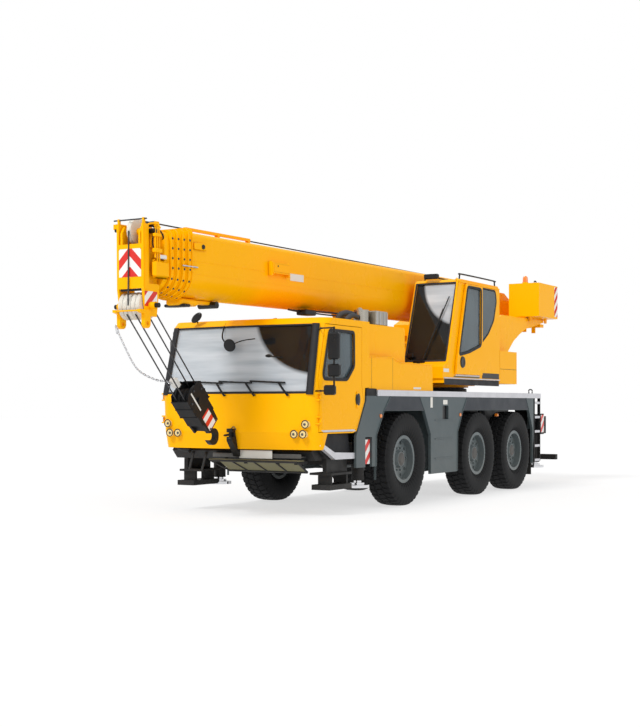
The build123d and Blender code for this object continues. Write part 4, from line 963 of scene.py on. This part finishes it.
bodies = ["boom", "tele_1", "tele_2", "tele_3", "tele_4"]
for step, body in enumerate(bodies[:4]):
    grow = 0.024 - step * 0.03 * (0.55 if step else 0)
    front = collars["front"] + step * collars["pitch"]
    ribs = [collarRib(front - 0.089, 0.012, grow - 0.002, grow + 0.014),
            collarRib(front - 0.013, 0.012, grow - 0.002, grow + 0.014)]
    make(f"collarRibs_{step}", body, "yellowEnamel", ribs, closedRows=True, smooth=30)
    bolts = []
    for w in (-0.02, 0.1, 0.22, 0.34):
        for way in (-1, 1):
            place = onBoom([front - 0.045, way * (collars["half"] + grow + 0.0004), w])
            bolts.append(disc(place, (0, way, 0), 0.014, 0.009, 6))
    for degrees in (200, 225, 250, 270, 290, 315, 340):
        r, c, d = collars["half"] + grow + 0.0004, cos(radians(degrees)), sin(radians(degrees))
        place = onBoom([front - 0.045, r * c, collars["round"] + r * d])
        bolts.append(disc(place, (0, c, d), 0.014, 0.009, 6))
    make(f"collarBolts_{step}", body, "castSteel", bolts)

# Boom base: weld seam, plates, rod, pads below and fittings at the front
seams = []
for way in (-1, 1):
    for high, size in ((0.1, (0.012, 0.005, 0.002)), (-0.06, (0.008, 0.003, 0.001))):
        line = onBoom([(0.3, way * 0.2955, high), (9.8, way * 0.2955, high)])
        seams.append(carried(rect(*size), line, (0, way, 0)))
make("boomSeams", "boom", "yellowEnamel", seams)
make("boomPlates", "boom", "plateWhite", [
    boomBlock((7.10, 0.2954, 0.02), (7.46, 0.30, 0.12), 0.001)])
make("boomSensorRod", "boom", "hardChrome", [
    pipe(onBoom([(9.70, 0.322, 0.02), (10.02, 0.322, 0.02)]), 0.012)])
make("boomBoxes", "boom", "yellowEnamel", [
    boomBlock((9.50, 0.2953, 0.24), (9.76, 0.325, 0.33), 0.01),
    boomBlock((7.60, 0.371, 0.10), (7.99, 0.376, 0.21), 0.002),
    boomBlock((7.56, 0.30, 0.05), (7.60, 0.36, 0.24), 0.003),
    boomBlock((7.99, 0.30, 0.05), (8.03, 0.36, 0.24), 0.003),
    boomBlock((9.4, -0.12, -0.44), (9.78, 0.12, -0.352), 0.02),
    boomBlock((8.95, -0.05, -0.40), (9.35, 0.05, -0.352), 0.008)])
make("boomDark", "boom", "smoothPlastic", [
    disc(onBoom([9.58, 0.325, 0.285]), (0, 1, 0), 0.03, 0.012),
    disc(onBoom([7.9, 0.376, 0.18]), (0, 1, 0), 0.012, 0.005),
    pipe(onBoom([(9.02, -0.14, -0.40), (9.02, 0.14, -0.40)]), 0.045, 18),
    boomBlock((9.62, -0.16, -0.46), (9.76, 0.16, -0.42), 0.01),
    boomBlock((6.68, 0.10, -0.43), (6.98, 0.26, -0.35), 0.01)])
make("boomHoses", "boom", "smoothPlastic", [
    hose(onBoom([(5.35, 0.2, -0.34), (5.9, 0.22, -0.36), (6.5, 0.2, -0.36), (6.95, 0.16, -0.38),
                 (7.2, 0.1, -0.36)]), 0.013),
    hose(onBoom([(5.35, 0.16, -0.36), (5.9, 0.17, -0.39), (6.5, 0.15, -0.385),
                 (7.05, 0.1, -0.36)]), 0.011)])
make("boomTopGuide", "boom", "yellowEnamel", [
    boomBlock((4.34, -0.05, 0.454), (4.40, 0.02, 0.485), 0.004),
    boomBlock((2.0, -0.05, 0.454), (2.06, 0.02, 0.485), 0.004)])

# the hoist rope along the boom's top, one straight length riding on each section
ropeRun = {"start": (0.45, 0.489), "end": (10.39, 0.5455), "y": -0.015, "radius": 0.009}
for body in bodies:
    line = onBoom([(ropeRun["start"][0], ropeRun["y"], ropeRun["start"][1]),
                   (ropeRun["end"][0], ropeRun["y"], ropeRun["end"][1])])
    make(f"topRope_{body}", body, "wireRope", [pipe(line, ropeRun["radius"], 8)])

# Hook block: films, lashing eye and the limit switch chain
hook = {"place": (3.64, 0.0, 1.53), "tilt": radians(45)}


def onHook(points):
    # local (forward, across, up) turned about the sheave pin by the block's tilt
    p = np.asarray(points, float)
    x, y, z = p[..., 0], p[..., 1], p[..., 2]
    c, s = cos(hook["tilt"]), sin(hook["tilt"])
    return np.stack([hook["place"][0] + x * c + z * s, hook["place"][1] + y,
                     hook["place"][2] - x * s + z * c], -1)


def hookBlock(low, high, edge=0.004):
    return onHook(block(low, high, edge))


make("hookFilm", "tele_4", "hazardSide", [
    hookBlock((-0.07, 0.1253, -0.445), (0.105, 0.1275, -0.20), 0.0006),
    hookBlock((-0.07, -0.1253, -0.445), (0.105, -0.1275, -0.20), 0.0006)])
make("hookStrip", "tele_4", "plateWhite", [
    hookBlock((0.05, 0.1287, -0.11), (0.075, 0.1295, 0.19), 0.0003)])
make("hookGuards", "tele_4", "chassisBlack", [
    hookBlock((-0.19, -0.128, -0.06), (-0.172, 0.128, 0.06), 0.003),
    hookBlock((0.172, -0.128, -0.06), (0.19, 0.128, 0.06), 0.003),
    hookBlock((-0.165, -0.124, -0.30), (-0.150, 0.124, -0.10), 0.003),
    hookBlock((0.150, -0.124, -0.30), (0.165, 0.124, -0.10), 0.003)])
guard = [(-0.192, -0.12), (-0.192, 0.15), (-0.14, 0.212), (0.14, 0.212), (0.192, 0.15),
         (0.192, -0.12)]
guards = [onHook(plate(guard, 1, way * 0.1256, way * 0.1285)) for way in (-1, 1)]
for x in (-0.192, 0.186):
    guards.append(hookBlock((x, -0.1285, -0.12), (x + 0.006, 0.1285, 0.15), 0.001))
    for z in (-0.12, 0.02, 0.15):
        guards.append(hookBlock((x - 0.006, -0.135, z), (x + 0.012, 0.135, z + 0.014), 0.002))
for y in (-0.135, 0.1285):
    guards.append(hookBlock((-0.14, y, 0.206), (0.14, y + 0.0065, 0.216), 0.001))
make("hookCage", "tele_4", "chassisBlack", guards)
make("hookBolts", "tele_4", "castSteel", [
    disc(onHook([x, 0.1253, z]), (0, 1, 0), 0.016, 0.012, 6)
    for x, z in ((-0.14, 0.08), (0.14, 0.08), (0, 0.17), (-0.08, -0.43), (0.08, -0.43))])
make("hookLashing", "carrier", "chassisBlack", [
    hose([(2.77, 0.0, 1.085), (2.83, 0.02, 1.09), (2.90, 0.0, 1.08), (2.83, -0.02, 1.07),
          (2.77, 0.0, 1.08)], 0.008)])


def chainLinks(points, count, length, wire):
    # links strung along a curve, each a stadium ring, every second one turned a quarter
    curve = smoothed(points, 12)
    steps = np.concatenate([[0], np.cumsum(np.linalg.norm(np.diff(curve, axis=0), axis=1))])
    shapes = []
    for k in range(count):
        at = (k + 0.5) / count * steps[-1]
        centre = np.array([np.interp(at, steps, curve[:, i]) for i in range(3)])
        further = np.array([np.interp(at + 0.01, steps, curve[:, i]) for i in range(3)])
        run = (further - centre) / max(np.linalg.norm(further - centre), 1e-9)
        side = np.cross(run, (0, 1.0, 0))
        side /= np.linalg.norm(side)
        if k % 2:
            side = np.cross(run, side)
        a = np.arange(16) * 2 * pi / 16
        straight = (length / 2 - wire * 2.2) * np.sign(np.cos(a))
        ring = (centre + (np.cos(a) * wire * 2.4 + straight)[:, None] * run
                + (np.sin(a) * wire * 2.4)[:, None] * side)
        across = np.cross(run, side)
        circle = closedRing(6) * wire
        out = ring - centre
        out -= (out @ run)[:, None] * run
        norm = np.linalg.norm(out, axis=1, keepdims=True)
        out = np.where(norm > 1e-6, out / np.maximum(norm, 1e-6), run)
        shapes.append(ring[:, None] + circle[None, :, :1] * out[:, None]
                      + circle[None, :, 1:] * across)
    return shapes


chain = {"points": [(4.84, -0.23, 2.42), (4.76, -0.23, 2.28), (4.50, -0.2, 1.93),
                    (4.22, -0.15, 1.80), (4.02, -0.11, 1.77), (3.90, -0.09, 1.74)],
         "count": 34, "length": 0.05, "wire": 0.0045}
make("limitChain", "tele_4", "hardChrome",
     chainLinks(chain["points"], chain["count"], chain["length"], chain["wire"]), closedRows=True)
make("chainRing", "tele_4", "hardChrome",
     chainLinks([(4.86, -0.23, 2.44), (4.83, -0.23, 2.33)], 1, 0.11, 0.005), closedRows=True)
make("limitWeight", "tele_4", "plateWhite", [
    onHook(block((-0.02, -0.12, 0.27), (0.05, -0.02, 0.40), 0.008))])

# Turntable, tail lug and winch details
make("slewBolts", "carrier", "castSteel", [
    disc((-3.45 + 0.62 * cos(a), 0.62 * sin(a), 1.7553), (0, 0, 1), 0.014, 0.012, 6)
    for a in np.arange(36) * 2 * pi / 36])
make("turntableSeams", "superstructure", "grainedPlastic", [
    block((-4.485, craneSkin, 2.10), (-3.715, 1.2062, 2.106), 0.0004),
    block((-4.1, -craneSkin, 1.87), (-4.094, -1.2062, 2.40), 0.0004),
    block((-2.9, -craneSkin, 1.87), (-2.894, -1.2062, 2.68), 0.0004)])
lugForms = [plate([(x - 0.05, 3.12), (x + 0.05, 3.12), (x + 0.03, 3.04), (x - 0.03, 3.04)], 1,
                  1.0, 1.03) for x in (-5.65, -6.45)]
make("tailLugs", "superstructure", "yellowEnamel",
     lugForms + [mirrored(form) for form in lugForms])
winch = {"x": -6.235, "z": 3.235, "half": 0.228, "turns": 20}
turn = np.linspace(0, 2 * pi * winch["turns"], winch["turns"] * 24)
rope = np.stack([winch["x"] + 0.154 * np.cos(turn), np.linspace(-winch["half"] + 0.012,
                 winch["half"] - 0.012, len(turn)), winch["z"] + 0.154 * np.sin(turn)], -1)
make("winchRope", "superstructure", "wireRope", [carried(closedRing(6) * 0.009, rope, (0, 1, 0))])
print("boom, hook and tail details done")

# Light, floor and camera
view = {"place": (16.990 + ahead, 9.651, 1.4635), "turn": 120.148, "focal": 1287.9,
        "frameHeight": 727, "principal": 406.12}


def studio():
    floorMesh = bpy.data.meshes.new("floor")
    corner = 90.0
    floorMesh.from_pydata([(-corner, -corner, 0), (corner, -corner, 0), (corner, corner, 0),
                           (-corner, corner, 0)], [], [(0, 1, 2, 3)])
    floor = bpy.data.objects.new("floor", floorMesh)
    bpy.context.scene.collection.objects.link(floor)
    material = bpy.data.materials.new("paleFloor")
    material.use_nodes = True
    tree = material.node_tree
    tree.nodes.clear()
    path = add(tree, "ShaderNodeLightPath").outputs
    seen = maths(tree, "MAXIMUM", path["Is Camera Ray"], path["Is Glossy Ray"])
    seen = maths(tree, "MAXIMUM", seen, path["Is Transmission Ray"])
    chalk = add(tree, "ShaderNodeBsdfDiffuse", {"Color": (0.86, 0.86, 0.86, 1)})
    glow = add(tree, "ShaderNodeEmission", {"Color": (1, 1, 1, 1), "Strength": 1.03})
    surface(tree, between(tree, maths(tree, "MULTIPLY", seen, 0.62), chalk.outputs[0],
                          glow.outputs[0]))
    floorMesh.materials.append(material)
    world = bpy.data.worlds.new("studioWorld")
    bpy.context.scene.world = world
    world.use_nodes = True
    tree = world.node_tree
    tree.nodes.clear()
    path = add(tree, "ShaderNodeLightPath").outputs
    seen = maths(tree, "MAXIMUM", path["Is Camera Ray"], path["Is Transmission Ray"])
    back = add(tree, "ShaderNodeBackground", {
        "Color": (1, 1, 1, 1), "Strength": mapped(tree, seen, (0.0, 1.0), (0.75, 1.0))})
    add(tree, "ShaderNodeOutputWorld", {"Surface": back.outputs[0]})
    for name, turn, energy, size in (("keySun", (44, 0, 82), 1.75, 14),
                                     ("sideSun", (62, 0, 160), 0.42, 30)):
        sun = bpy.data.lights.new(name, "SUN")
        sun.energy = energy
        sun.angle = radians(size)
        holder = bpy.data.objects.new(name, sun)
        holder.rotation_euler = [radians(a) for a in turn]
        bpy.context.scene.collection.objects.link(holder)


def camera():
    data = bpy.data.cameras.new("camera")
    data.sensor_width = 36
    data.lens = view["focal"] / view["frameHeight"] * data.sensor_width
    data.shift_y = (view["principal"] - view["frameHeight"] / 2) / view["frameHeight"]
    data.clip_end = 300
    holder = bpy.data.objects.new("camera", data)
    holder.location = view["place"]
    holder.rotation_euler = (radians(90), 0, radians(view["turn"]))
    bpy.context.scene.collection.objects.link(holder)
    bpy.context.scene.camera = holder


studio()
camera()
bpy.context.scene.view_settings.view_transform = "Standard"
print("studio done")
